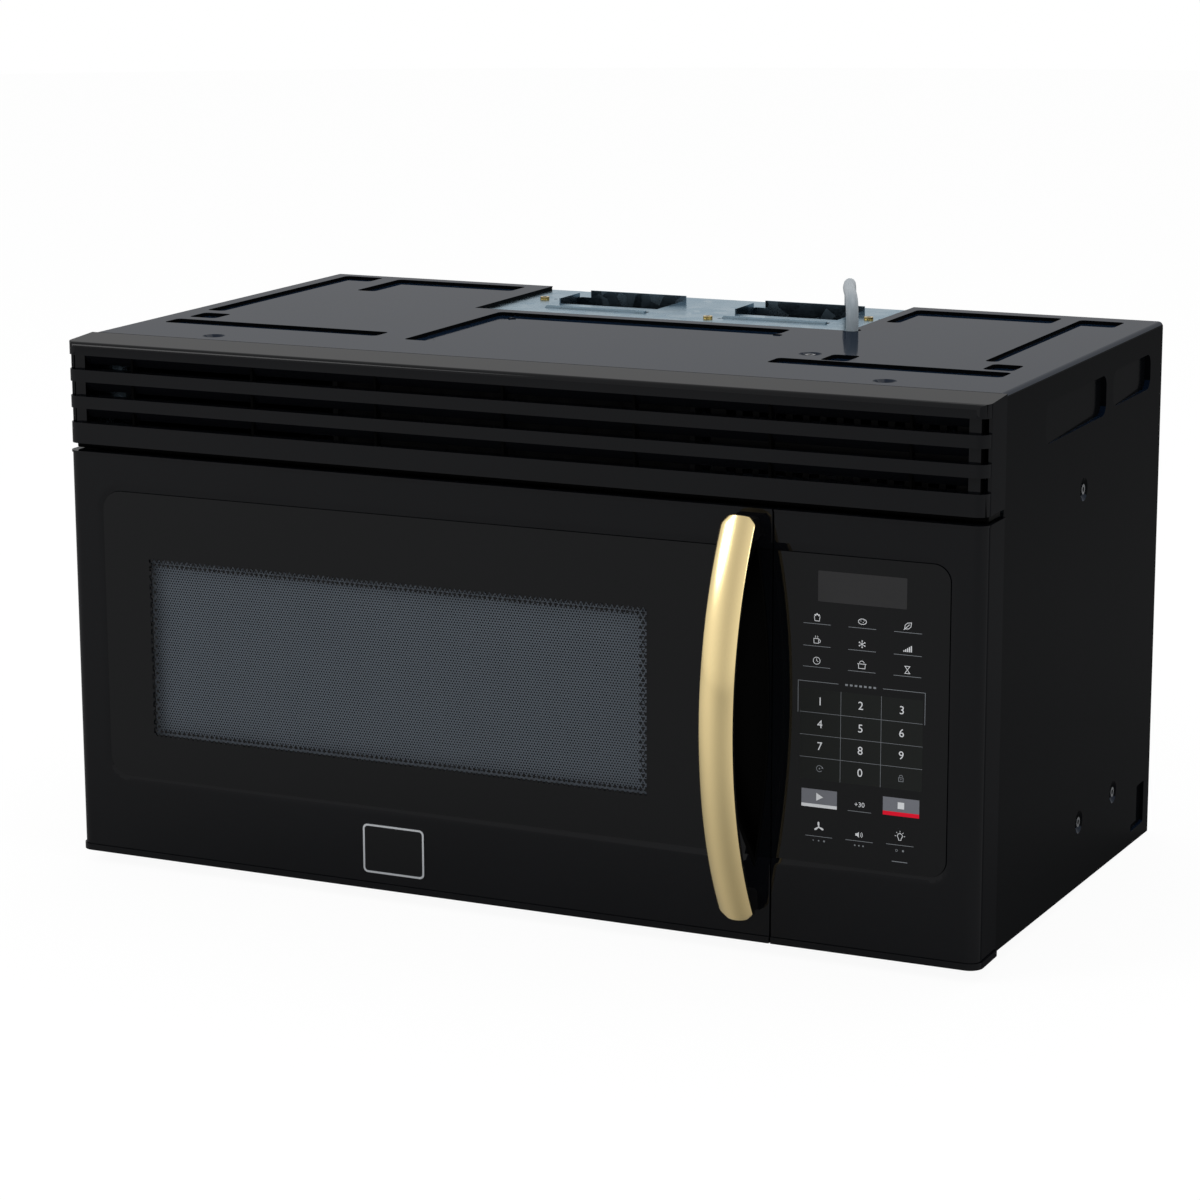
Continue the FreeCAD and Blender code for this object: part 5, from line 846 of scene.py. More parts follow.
class Weave(Pattern):
    """Two crossing layers of crimped wire, lying flat."""

    title = "woven wire"
    numbers = {"Width": 0.18, "Depth": 0.17, "Pitch": 0.004, "Wire": 0.00045}

    def layer(self, board: Board, given: bpy.types.NodeOutputs, long: str, wide: str,
              turn: float) -> bpy.types.NodeSocket:
        """One layer of wires.

        Args:
            board: Where the nodes go.
            given: Inputs of the tree.
            long: Input that gives the wires' length.
            wide: Input that the wires are spread over.
            turn: Angle of the layer.

        Returns:
            The socket with the wires.
        """
        half = board.maths("MULTIPLY", given[long], 0.5)
        ends = [board.add("ShaderNodeCombineXYZ", {"X": x}).outputs[0]
                for x in (board.maths("MULTIPLY", half, -1.0), half)]
        line = board.add("GeometryNodeCurvePrimitiveLine", {"Start": ends[0], "End": ends[1]})
        bends = board.maths("FLOOR", board.maths("DIVIDE", given[long], given["Pitch"]))
        points = board.add("GeometryNodeResampleCurve", {"Curve": line.outputs[0], "Count": bends})
        odd = board.maths("MODULO", board.add("GeometryNodeInputIndex").outputs[0], 2.0)
        rise = board.maths("MULTIPLY", board.maths("SUBTRACT", odd, 0.5),
                           board.maths("MULTIPLY", given["Wire"], 2.2))
        crimp = board.add("ShaderNodeCombineXYZ", {"Z": rise})
        wave = board.add("GeometryNodeSetPosition", {
            "Geometry": points.outputs[0], "Offset": crimp.outputs[0]})
        ring = board.add("GeometryNodeCurvePrimitiveCircle", {
            "Resolution": 5, "Radius": given["Wire"]})
        wire = board.add("GeometryNodeCurveToMesh", {
            "Curve": wave.outputs[0], "Profile Curve": ring.outputs[0]})
        count = board.maths("FLOOR", board.maths("DIVIDE", given[wide], given["Pitch"]))
        offset = board.add("ShaderNodeCombineXYZ", {"Y": given["Pitch"]})
        rows = board.add("GeometryNodeMeshLine", {"Count": count, "Offset": offset.outputs[0]})
        middle = board.maths("MULTIPLY", board.maths("MULTIPLY", board.maths("SUBTRACT", count, 1.0),
                                                     given["Pitch"]), -0.5)
        centred = board.add("GeometryNodeSetPosition", {
            "Geometry": rows.outputs[0],
            "Offset": board.add("ShaderNodeCombineXYZ", {"Y": middle}).outputs[0]})
        index = board.add("GeometryNodeInputIndex").outputs[0]
        flip = board.maths("MULTIPLY", board.maths("MODULO", index, 2.0), math.pi)
        wires = board.add("GeometryNodeInstanceOnPoints", {
            "Points": centred.outputs[0], "Instance": wire.outputs[0],
            "Rotation": board.add("ShaderNodeCombineXYZ", {"X": flip}).outputs[0]})
        turned = board.add("GeometryNodeTransform", {
            "Geometry": wires.outputs[0], "Translation": given["Place"], "Rotation": (0.0, 0.0, turn)})
        return turned.outputs[0]

    def build(self, board: Board, given: bpy.types.NodeOutputs) -> bpy.types.NodeSocket:
        """Wires both ways.

        Args:
            board: Where the nodes go.
            given: Inputs of the tree.

        Returns:
            The socket with the shapes.
        """
        join = board.add("GeometryNodeJoinGeometry")
        for layer in (self.layer(board, given, "Width", "Depth", 0.0),
                      self.layer(board, given, "Depth", "Width", math.pi / 2)):
            board.tree.links.new(layer, join.inputs[0])
        return join.outputs[0]


class ScrewHeads(Pattern):
    """Screw heads with a cross recess, on points that carry an outward direction."""

    title = "screw heads"
    numbers = {"Radius": 0.004, "Height": 0.002}
    vectors = {}
    materials = ("Finish", "Recess")

    def build(self, board: Board, given: bpy.types.NodeOutputs) -> bpy.types.NodeSocket:
        """Domed head from two cones, with two dark bars of painted shade let into its top for the cross
        recess.

        Args:
            board: Where the nodes go.
            given: Inputs of the tree.

        Returns:
            The socket with the shapes.
        """
        parts = []
        shoulder = board.maths("MULTIPLY", given["Height"], 0.6)
        crown = board.maths("MULTIPLY", given["Height"], 0.4)
        for low, depth, bottom, top in ((0.0, shoulder, 1.0, 0.9), (shoulder, crown, 0.9, 0.5)):
            cone = board.add("GeometryNodeMeshCone", {
                "Vertices": 16, "Radius Top": board.maths("MULTIPLY", given["Radius"], top),
                "Radius Bottom": board.maths("MULTIPLY", given["Radius"], bottom), "Depth": depth})
            lifted = board.add("GeometryNodeTransform", {
                "Geometry": cone.outputs["Mesh"],
                "Translation": board.add("ShaderNodeCombineXYZ", {"Z": low}).outputs[0]})
            parts.append(board.add("GeometryNodeSetMaterial", {
                "Geometry": lifted.outputs[0], "Material": given["Finish"]}).outputs[0])
        long = board.maths("MULTIPLY", given["Radius"], 0.95)
        thin = board.maths("MULTIPLY", given["Radius"], 0.2)
        for x, y in ((long, thin), (thin, long)):
            size = board.add("ShaderNodeCombineXYZ", {"X": x, "Y": y, "Z": crown})
            bar = board.add("GeometryNodeMeshCube", {"Size": size.outputs[0]})
            lifted = board.add("GeometryNodeTransform", {
                "Geometry": bar.outputs["Mesh"], "Translation": board.add("ShaderNodeCombineXYZ", {
                    "Z": board.maths("ADD", shoulder, board.maths("MULTIPLY", crown, 0.55))}).outputs[0]})
            parts.append(board.add("GeometryNodeSetMaterial", {
                "Geometry": lifted.outputs[0], "Material": given["Recess"]}).outputs[0])
        head = board.add("GeometryNodeJoinGeometry")
        for part in parts:
            board.tree.links.new(part, head.inputs[0])
        outward = board.add("GeometryNodeInputNamedAttribute", {"Name": "outward"},
                            data_type="FLOAT_VECTOR")
        turn = board.add("FunctionNodeAlignRotationToVector", {"Vector": outward.outputs[0]},
                         axis="Z")
        heads = board.add("GeometryNodeInstanceOnPoints", {
            "Points": given["Geometry"], "Instance": head.outputs[0], "Rotation": turn.outputs[0]})
        return heads.outputs[0]

    def finish(self, board: Board, given: bpy.types.NodeOutputs,
               shapes: bpy.types.NodeSocket) -> bpy.types.NodeSocket:
        """The heads keep the two materials that they were given before they were copied."""
        return shapes

    def on(self, name: str, seats: Sequence[tuple[Vector, Vector]], radius: float, height: float,
           metal: Finish) -> bpy.types.Object:
        """Heads on their seats.

        Args:
            name: Name of the piece.
            seats: Place and outward direction of each screw.
            radius: Radius of a head.
            height: Height of a head.
            metal: Finish of the heads.

        Returns:
            The piece.
        """
        points = bpy.data.meshes.new(name)
        points.from_pydata([tuple(place) for place, _ in seats], [], [])
        outward = points.attributes.new("outward", "FLOAT_VECTOR", "POINT")
        for i, (_, way) in enumerate(seats):
            outward.data[i].vector = way
        # The recess bars take the near black of painted shade.
        return self.piece(name, {"Radius": radius, "Height": height},
                          {"Finish": metal, "Recess": PAINTED_SHADE_BLACK}, points)


# ---- studio -----------------------------------------------------------------------------------
@dataclass
class Studio:
    """Pale floor, soft light, white background and the camera."""

    lens_mm: float = 106.80
    place: tuple[float, float, float] = (1.1625, -2.5145, 0.8267)
    azimuth: float = 24.921
    elevation: float = 12.522
    roll: float = 0.173
    floor_radius: float = 9.0
    light_level: float = 0.62
    floor_white: float = 0.9
    floor_glow: float = 1.04
    floor_paint: tuple[float, float, float, float] = (0.82, 0.82, 0.82, 1.0)
    floor_rough: float = 0.9

    def camera(self) -> None:
        """Set the camera where the photograph was taken from."""
        a, e, r = (math.radians(v) for v in (self.azimuth, self.elevation, self.roll))
        back = Vector((math.sin(a) * math.cos(e), -math.cos(a) * math.cos(e), math.sin(e)))
        level = Vector((math.cos(a), math.sin(a), 0.0))
        rise = back.cross(level)
        right = level * math.cos(r) - rise * math.sin(r)
        up = level * math.sin(r) + rise * math.cos(r)
        data = bpy.data.cameras.new("camera")
        data.lens = self.lens_mm
        data.sensor_width = 36.0
        data.clip_end = 40.0
        camera = bpy.data.objects.new("camera", data)
        turned = Matrix((right, up, back)).transposed().to_4x4()
        camera.matrix_world = Matrix.Translation(self.place) @ turned
        bpy.context.scene.collection.objects.link(camera)
        bpy.context.scene.camera = camera

    @staticmethod
    def seen(board: Board) -> bpy.types.NodeSocket:
        """One for the camera and for mirror and glass rays, else nought.

        Args:
            board: Where the nodes go.

        Returns:
            The socket.
        """
        path = board.add("ShaderNodeLightPath").outputs
        any_two = board.maths("MAXIMUM", path["Is Camera Ray"], path["Is Glossy Ray"])
        return board.maths("MAXIMUM", any_two, path["Is Transmission Ray"])

    def world(self) -> None:
        """White background whose light on the object stays at a plain level."""
        world = bpy.data.worlds.new("studio")
        world.use_nodes = True
        bpy.context.scene.world = world
        board = Board(world.node_tree)
        seen = self.seen(board)
        strength = board.add("ShaderNodeMapRange", {
            "Value": seen, "To Min": self.light_level, "To Max": 1.0})
        background = world.node_tree.nodes["Background"]
        background.inputs["Color"].default_value = (1.0, 1.0, 1.0, 1.0)
        board.feed(background.inputs["Strength"], strength.outputs[0])

    def floor(self) -> None:
        """Round pale floor that keeps the shadow and meets the background without a line.

        The camera sees it nearly white. What the oven mirrors is its plain paint.
        """
        bm = bmesh.new()
        bmesh.ops.create_circle(bm, cap_ends=True, radius=self.floor_radius, segments=96)
        mesh = bpy.data.meshes.new("floor")
        bm.to_mesh(mesh)
        bm.free()
        floor = bpy.data.objects.new("floor", mesh)
        bpy.context.scene.collection.objects.link(floor)
        material = bpy.data.materials.new("pale_floor")
        material.use_nodes = True
        board = Board(material.node_tree)
        paint = material.node_tree.nodes["Principled BSDF"]
        paint.inputs["Base Color"].default_value = self.floor_paint
        paint.inputs["Roughness"].default_value = self.floor_rough
        paint.inputs["Specular IOR Level"].default_value = 0.0
        glow = board.add("ShaderNodeEmission", {"Strength": self.floor_glow})
        camera = board.add("ShaderNodeLightPath").outputs["Is Camera Ray"]
        share = board.maths("MULTIPLY", camera, self.floor_white)
        mix = board.add("ShaderNodeMixShader", {0: share, 1: paint.outputs[0], 2: glow.outputs[0]})
        board.feed(material.node_tree.nodes["Material Output"].inputs["Surface"], mix.outputs[0])
        mesh.materials.append(material)

    def lamps(self) -> None:
        """Large soft lamps: one high on the left, one low on the right, one over the top."""
        for name, place, aim, size, power in (
                ("left softbox", (-2.2, -2.2, 2.4), (0.0, 0.0, 0.2), 1.6, 34.0),
                ("right softbox", (2.8, -0.8, 1.5), (0.0, 0.0, 0.2), 1.2, 9.0),
                ("top softbox", (0.2, 1.2, 2.8), (0.0, 0.1, 0.3), 1.8, 14.0)):
            data = bpy.data.lights.new(name, "AREA")
            data.shape = "DISK"
            data.size = size
            data.energy = power
            lamp = bpy.data.objects.new(name, data)
            way = Vector(aim) - Vector(place)
            turned = way.to_track_quat("-Z", "Y").to_matrix().to_4x4()
            lamp.matrix_world = Matrix.Translation(place) @ turned
            bpy.context.scene.collection.objects.link(lamp)

    def build(self) -> None:
        """Set up the whole studio."""
        bpy.context.scene.view_settings.view_transform = "Standard"
        self.camera()
        self.world()
        self.floor()
        self.lamps()


# ---- mains lead -------------------------------------------------------------------------------
@dataclass
class MainsLead:
    """Round grey lead from the gland over the rear edge to a coil on the floor, and its plug."""

    radius: float = 0.005
    length: float = 1.04
    rear: float = 0.2475
    top: float = 0.4243
    coil_start: float = 0.0712
    coil_x: float = 0.056
    coil_behind: float = 0.032
    coil_radius: float = 0.050
    coil_growth: float = 0.0045
    turn_points: int = 4
    bend_far: float = 0.4
    bend_near: float = 0.12
    tail: float = 0.025
    lift: float = 0.0052

    def route(self) -> list[Vector]:
        """Points from the gland over the rear edge and down behind the oven.

        Returns:
            The points.
        """
        over = [(167.0, -145.0, -3.0), (167.0, -145.0, 8.0), (164.5, -139.0, 17.5), (159.5, -127.0, 22.0),
                (151.5, -108.0, 22.5), (139.5, -79.0, 21.0), (125.5, -45.0, 19.5), (109.0, 2.0, 18.0),
                (97.0, 34.5, -14.5), (91.0, 36.0, -64.27), (85.0, 35.5, -114.03), (77.5, 34.5, -163.8),
                (70.5, 33.0, -213.57), (61.5, 32.3, -263.33), (56.0, 32.0, -313.1)]
        return [Vector((x * MM, self.rear + y * MM, self.top + z * MM)) for x, y, z in over]

    def coil(self) -> list[Vector]:
        """Points of the bend to the floor, the opening turn and the straight tail.

        Returns:
            The points.
        """
        y = self.rear + self.coil_behind
        drop = self.coil_start - 2 * self.radius - self.lift
        far, near = self.bend_far * drop, self.bend_near * drop
        points = [Vector((self.coil_x, y, self.coil_start)),
                  Vector((self.coil_x, y, self.lift + drop)),
                  Vector((self.coil_x, y, self.lift + far)),
                  Vector((self.coil_x - near, y, self.lift + near)),
                  Vector((self.coil_x - far, y, self.lift))]
        spot, heading = Vector((self.coil_x - drop, y, self.lift)), Vector((-1.0, 0.0, 0.0))
        for quarter in range(4):
            radius = self.coil_radius + self.coil_growth * quarter
            inward = Vector((heading.y, -heading.x, 0.0))
            centre = spot + inward * radius
            reach = radius / math.cos(math.pi / 4 / self.turn_points)
            for k in range(self.turn_points):
                angle = math.pi / 2 * (k + 0.5) / self.turn_points
                points.append(centre - inward * reach * math.cos(angle)
                              + heading * reach * math.sin(angle))
            spot, heading = centre + heading * radius, inward
        points.append(spot + heading * 0.4 * self.tail)
        points.append(spot + heading * self.tail)
        return points

    def build(self, frame: dict) -> None:
        """Args:
            frame: The loaded frame.
        """
        points = self.route() + self.coil()
        curve = bpy.data.curves.new("mains_lead", "CURVE")
        curve.dimensions = "3D"
        curve.bevel_depth = self.radius
        curve.bevel_resolution = 5
        curve.resolution_u = 6
        curve.use_fill_caps = True
        spline = curve.splines.new("NURBS")
        spline.points.add(len(points) - 1)
        for spot, point in zip(points, spline.points):
            point.co = (*spot, 1.0)
        spline.order_u = 3
        spline.use_endpoint_u = True
        curve.materials.append(LEAD_RUBBER.material())
        lead = bpy.data.objects.new("mains_lead", curve)
        bpy.context.scene.collection.objects.link(lead)
        ride(lead, "case")
        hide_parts("power_cord", "cord_coil")
        dress(frame, LEAD_RUBBER, "plug", "cord_gland")


# ---- case -------------------------------------------------------------------------------------
@dataclass
class Case:
    """Enamelled case, galvanised back, base and exhaust plate, and their screws."""

    bend: float = 0.0005
    upward: float = 0.35
    plate_edge: float = 0.0003
    head: float = 0.0039
    head_height: float = 0.0019

    def seats(self, screws: bpy.types.Object) -> list[tuple[Vector, Vector]]:
        """Seat and outward direction of each screw in a CAD node.

        Args:
            screws: The node of screws.

        Returns:
            The seats.
        """
        bm = bmesh.new()
        bm.from_mesh(screws.data)
        bmesh.ops.remove_doubles(bm, verts=bm.verts, dist=SAME_POINT)
        seats, left = [], set(bm.verts)
        while left:
            island, queue = set(), [next(iter(left))]
            while queue:
                vert = queue.pop()
                if vert in island:
                    continue
                island.add(vert)
                queue += [edge.other_vert(vert) for edge in vert.link_edges]
            left -= island
            low = Vector([min(v.co[i] for v in island) for i in range(3)])
            high = Vector([max(v.co[i] for v in island) for i in range(3)])
            seats.append(self.seat(low, high))
        bm.free()
        return sorted(seats, key=lambda s: tuple(s[0]))

    def seat(self, low: Vector, high: Vector) -> tuple[Vector, Vector]:
        """Seat of one screw from its box: its length runs along its longest side.

        Args:
            low: Lowest corner.
            high: Highest corner.

        Returns:
            Seat and outward direction.
        """
        size, middle = high - low, (low + high) / 2
        axis = max(range(3), key=lambda i: size[i])
        side = 1.0 if axis == 2 or middle[axis] > 0 else -1.0
        outward = Vector([side if i == axis else 0.0 for i in range(3)])
        end = high[axis] if side > 0 else low[axis]
        middle[axis] = end - side * self.head_height
        return middle, outward

    def build(self, frame: dict, screws: ScrewHeads) -> None:
        """Dress the case.

        Args:
            frame: The loaded frame.
            screws: Pattern of the screw heads.
        """
        # Faces that look up take the painted-sheen copy of the enamel; all others take the darker
        # painted-shade copy.
        case = softened(frame, "outer_case", self.bend, ENAMEL_TOP_PAINTED_SHEEN, ENAMEL_SIDE_PAINTED_SHADE,
                        choose=lambda face: 0 if face.normal.z > self.upward else 1)
        ride(case, "case")
        plate = softened(frame, "exhaust_plate", self.plate_edge, GALVANISED)
        ride(plate, "case")
        for node, finish, slot in (("case_screws", DARK_STEEL, "case_black"),
                                   ("exhaust_screws", BRASS, "brass_screw")):
            seats = self.seats(frame["nodes"][node])
            heads = screws.on("heads_of_" + node, seats, self.head, self.head_height, finish)
            ride(heads, "case")
            dress(frame, finish, node)
        dress(frame, GALVANISED, "back_plate", "front_frame", "component_shelf")
        dress(frame, SATIN_BLACK, "base_pan")
        dress(frame, STEEL, "cabinet_nuts")


# ---- grille -----------------------------------------------------------------------------------
@dataclass
class Grille:
    """Louvred grille with a dark strip of painted shade over the door, the filter and the guard behind it."""

    edge: float = 0.0007
    shade_behind: float = 0.0034
    apron: float = 0.005
    rib_end: float = 0.00006
    inset: float = 0.002
    shade_strip_lap: float = 0.0002
    shade_strip_edge: float = 0.0012
    forward: float = -0.3
    upward: float = 0.6
    shade_strip_front: float = 0.010
    shade_strip_back: float = 0.036
    shade_strip_gap: float = 0.0008

    def gap_shade_strip(self) -> bpy.types.Object:
        """Dark strip under the grille, painted shade that closes the line over the door and the panel.

        Returns:
            The strip.
        """
        low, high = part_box("vent_grille")
        top_of_door = max(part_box("door_frame")[1].z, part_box("control_panel")[1].z)
        bm = bmesh.new()
        block(bm, (low.x + self.inset, low.y + self.shade_strip_front, top_of_door + self.shade_strip_gap),
              (high.x - self.inset, low.y + self.shade_strip_back, low.z + self.shade_strip_lap))
        bmesh.ops.bevel(bm, geom=bm.edges[:], offset=self.shade_strip_edge, segments=2, profile=0.5,
                        affect="EDGES")
        return from_bmesh("grille_gap_painted_shade", bm, PAINTED_SHADE_BLACK)

    def build(self, frame: dict) -> None:
        """Dress the grille.

        Args:
            frame: The loaded frame.
        """
        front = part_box("vent_grille")[0].y + self.shade_behind
        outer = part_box("vent_grille")[1].x - self.inset

        def slot(face: bpy.types.MeshPolygon) -> int:
            """Outer faces take the gloss, side faces the darker copy that paints shade, and what lies deep
            takes the near black of painted shade.

            Args:
                face: A face of the grille.

            Returns:
                The number of the slot.
            """
            if abs(face.center.x) > outer or shaded_side_slot(face) and face.center.y < front:
                return shaded_side_slot(face)
            near = face.center.y < front + self.apron
            apron = near and face.normal.y < self.forward and face.area > self.rib_end
            return 0 if face.center.y < front or face.normal.z > self.upward or apron else 2

        # Deep faces get the near black of painted shade.
        grille = softened(frame, "vent_grille", self.edge, FRONT_BLACK, FRONT_SIDE_PAINTED_SHADE, PAINTED_SHADE_BLACK,
                          choose=slot)
        ride(grille, "case")
        ride(self.gap_shade_strip(), "case")
        dress(frame, CHARCOAL, "charcoal_filter")
        dress(frame, SATIN_BLACK, "vent_screen")


# ---- door -------------------------------------------------------------------------------------
@dataclass
class Door:
    """Door with printed glass, smoked window over a perforated screen, badge and bowed handle."""

    edge: float = 0.0006
    window_left: float = 0.0405
    window_size: tuple[float, float] = (0.4275, 0.1432)
    window_rise: float = 0.035
    pane_thick: float = 0.0004
    hair: float = 0.0001
    print_lift: float = 0.00003
    cut_past: float = 0.01
    pitch: float = 0.0023
    dot: float = 0.00072
    fringe_pitch: float = 0.0042
    fringe_dot: float = 0.00142
    fringe: float = 0.0052
    bar_thick: float = 0.006
    roundness: float = 0.94
    fall: float = 0.66
    shoulder: float = 0.8
    back_edge: float = 0.001
    crown: float = 0.0034
    stations: int = 96
    taper: float = 0.006
    taper_depth: float = 0.0035
    badge_rim: float = 0.0016
    badge_corner: float = 0.0026
    badge_back: float = 0.00029

    def window(self) -> tuple[float, float, float, float]:
        """Left, right, bottom and top of the window.

        Returns:
            The four edges.
        """
        low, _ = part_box("door_glass")
        x0, z0 = low.x + self.window_left, low.z + self.window_rise
        return x0, x0 + self.window_size[0], z0, z0 + self.window_size[1]

    def glass(self, frame: dict) -> None:
        """Printed border with a pane let into it, in the place of the sheet of glass.

        Args:
            frame: The loaded frame.
        """
        x0, x1, z0, z1 = self.window()
        bm = bmesh.new()
        bm.from_mesh(frame["nodes"]["door_glass"].data)
        bmesh.ops.remove_doubles(bm, verts=bm.verts, dist=SAME_POINT)
        low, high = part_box("door_glass")
        border = from_bmesh("glass_border", bm, GLASS_BLACK)
        cutter_mesh = bmesh.new()
        block(cutter_mesh, (x0, low.y - self.cut_past, z0), (x1, high.y + self.cut_past, z1))
        cutter = from_bmesh("window_cutter", cutter_mesh, GLASS_BLACK)
        cut = border.modifiers.new("window", "BOOLEAN")
        cut.operation = "DIFFERENCE"
        cut.object = cutter
        cut.solver = "EXACT"
        applied(border)
        bpy.data.objects.remove(cutter)
        border.data.materials.clear()
        border.data.materials.append(GLASS_BLACK.material())
        border.data.shade_flat()
        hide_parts("door_glass")
        ride(border, "door")
        pane = bmesh.new()
        block(pane, (x0, low.y, z0), (x1, low.y + self.pane_thick, z1))
        ride(from_bmesh("window_pane", pane, SMOKED), "door")

    def screen(self, frame: dict, dots: DotField) -> None:
        """Perforations of the screen behind the window as dark discs that paint the shade seen through holes,
        with a coarser row along its edge.

        Args:
            frame: The loaded frame.
            dots: Pattern of the holes.
        """
        x0, x1, z0, z1 = self.window()
        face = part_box("door_screen")[0].y - self.hair
        place = ((x0 + x1) / 2, face, (z0 + z1) / 2)
        field = dots.piece("screen_hole_shade_dots", {
            "Width": x1 - x0, "Height": z1 - z0, "Pitch": self.pitch, "Dot": self.dot, "Place": place},
            {"Finish": HOLE_SHADE})
        ride(field, "door")
        pane = (place[0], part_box("door_glass")[0].y - self.print_lift, place[2])
        fringe = dots.piece("window_fringe", {
            "Width": x1 - x0 + self.fringe_pitch, "Height": z1 - z0 + self.fringe_pitch,
            "Pitch": self.fringe_pitch, "Dot": self.fringe_dot, "Place": pane,
            "Hollow Width": x1 - x0 - 2 * self.fringe, "Hollow Height": z1 - z0 - 2 * self.fringe},
            {"Finish": GLASS_BLACK})
        ride(fringe, "door")
        dress(frame, SCREEN_METAL, "door_screen")

    def section(self, width: float, thick: float) -> list[Point2]:
        """Outline of the handle's bar across its length: a crowned face and rounded edges.

        Args:
            width: Across the bar.
            thick: From the crown to the back.

        Returns:
            Points (x, y), with y nought at the crown and growing towards the door.
        """
        half, points, steps = width / 2, [], 20
        for k in range(steps + 1):
            u = math.sin((-1 + 2 * k / steps) * math.pi / 2)
            sunk = (1 - math.sqrt(1 - (self.roundness * u) ** 2)) / self.fall
            points.append((half * u, self.crown * sunk))
        corner, shoulder = half - self.back_edge, thick * self.shoulder
        return points + [(half, shoulder), (corner, thick), (-corner, thick), (-half, shoulder)]

    def handle(self, frame: dict) -> None:
        """Bowed champagne bar with a crowned face.

        Args:
            frame: The loaded frame.
        """
        low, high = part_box("handle_bar")
        end_y = high.y - self.bar_thick
        rise = end_y - low.y
        half = (high.z - low.z) / 2
        radius = (rise ** 2 + half ** 2) / (2 * rise)
        centre_y, centre_z = low.y + radius, (low.z + high.z) / 2
        spread = math.asin(half / radius)
        middle = (low.x + high.x) / 2
        bm = bmesh.new()
        rows = []
        for k in range(self.stations + 1):
            angle = -spread * math.cos(math.pi * k / self.stations)
            end = (spread - abs(angle)) * radius
            cut = max(0.0, 1 - end / self.taper)
            section = self.section(high.x - low.x - 2 * self.taper_depth * cut ** 1.5, self.bar_thick)
            rows.append([bm.verts.new((middle + x, centre_y - (radius - y) * math.cos(angle),
                                       centre_z + (radius - y) * math.sin(angle))) for x, y in section])
        count = len(rows[0])
        for lower, upper in zip(rows, rows[1:]):
            for i in range(count):
                j = (i + 1) % count
                bm.faces.new((lower[i], lower[j], upper[j], upper[i]))
        bm.faces.new(rows[0])
        bm.faces.new(rows[-1])
        bmesh.ops.recalc_face_normals(bm, faces=bm.faces)
        # Its finish paints a highlight that rolls across the bar.
        bar = from_bmesh("bowed_bar", bm, CHAMPAGNE, smooth=math.radians(40))
        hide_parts("handle_bar")
        ride(bar, "door")
        dress(frame, SATIN_BLACK, "handle_liner")

    def badge(self, frame: dict) -> None:
        """Bright rim round a bare dark field.

        Args:
            frame: The loaded frame.
        """
        low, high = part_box("badge_plate")
        rim = self.badge_rim
        bm = bmesh.new()
        block(bm, (low.x + rim, low.y + self.hair, low.z + rim),
              (high.x - rim, low.y + self.badge_back, high.z - rim))
        corners = [e for e in bm.edges if abs((e.verts[0].co - e.verts[1].co).y) > NO_LENGTH]
        bmesh.ops.bevel(bm, geom=corners, offset=self.badge_corner, segments=5, profile=0.5,
                        affect="EDGES")
        ride(from_bmesh("badge_field", bm, GLASS_BLACK), "door")
        dress(frame, BADGE_METAL, "badge_plate")

    def build(self, frame: dict, dots: DotField) -> None:
        """Dress the door.

        Args:
            frame: The loaded frame.
            dots: Pattern of the screen's holes.
        """
        # Faces that look left or right take the darker copy, painted shade.
        body = softened(frame, "door_frame", self.edge, FRONT_BLACK, FRONT_SIDE_PAINTED_SHADE, choose=shaded_side_slot)
        ride(body, "door")
        self.glass(frame)
        self.screen(frame, dots)
        self.handle(frame)
        self.badge(frame)
        # The finger pocket takes the near black of painted shade, darker than its plastic.
        dress(frame, PAINTED_SHADE_BLACK, "finger_pocket")
        dress(frame, SATIN_BLACK, "choke_cover")
        dress(frame, GALVANISED, "door_inner_panel")
        dress(frame, CLEAR_LENS, "inner_window")
        dress(frame, STEEL, "door_hinges", "latch_spring")
        dress(frame, WHITE_PLASTIC, "latch_hook")


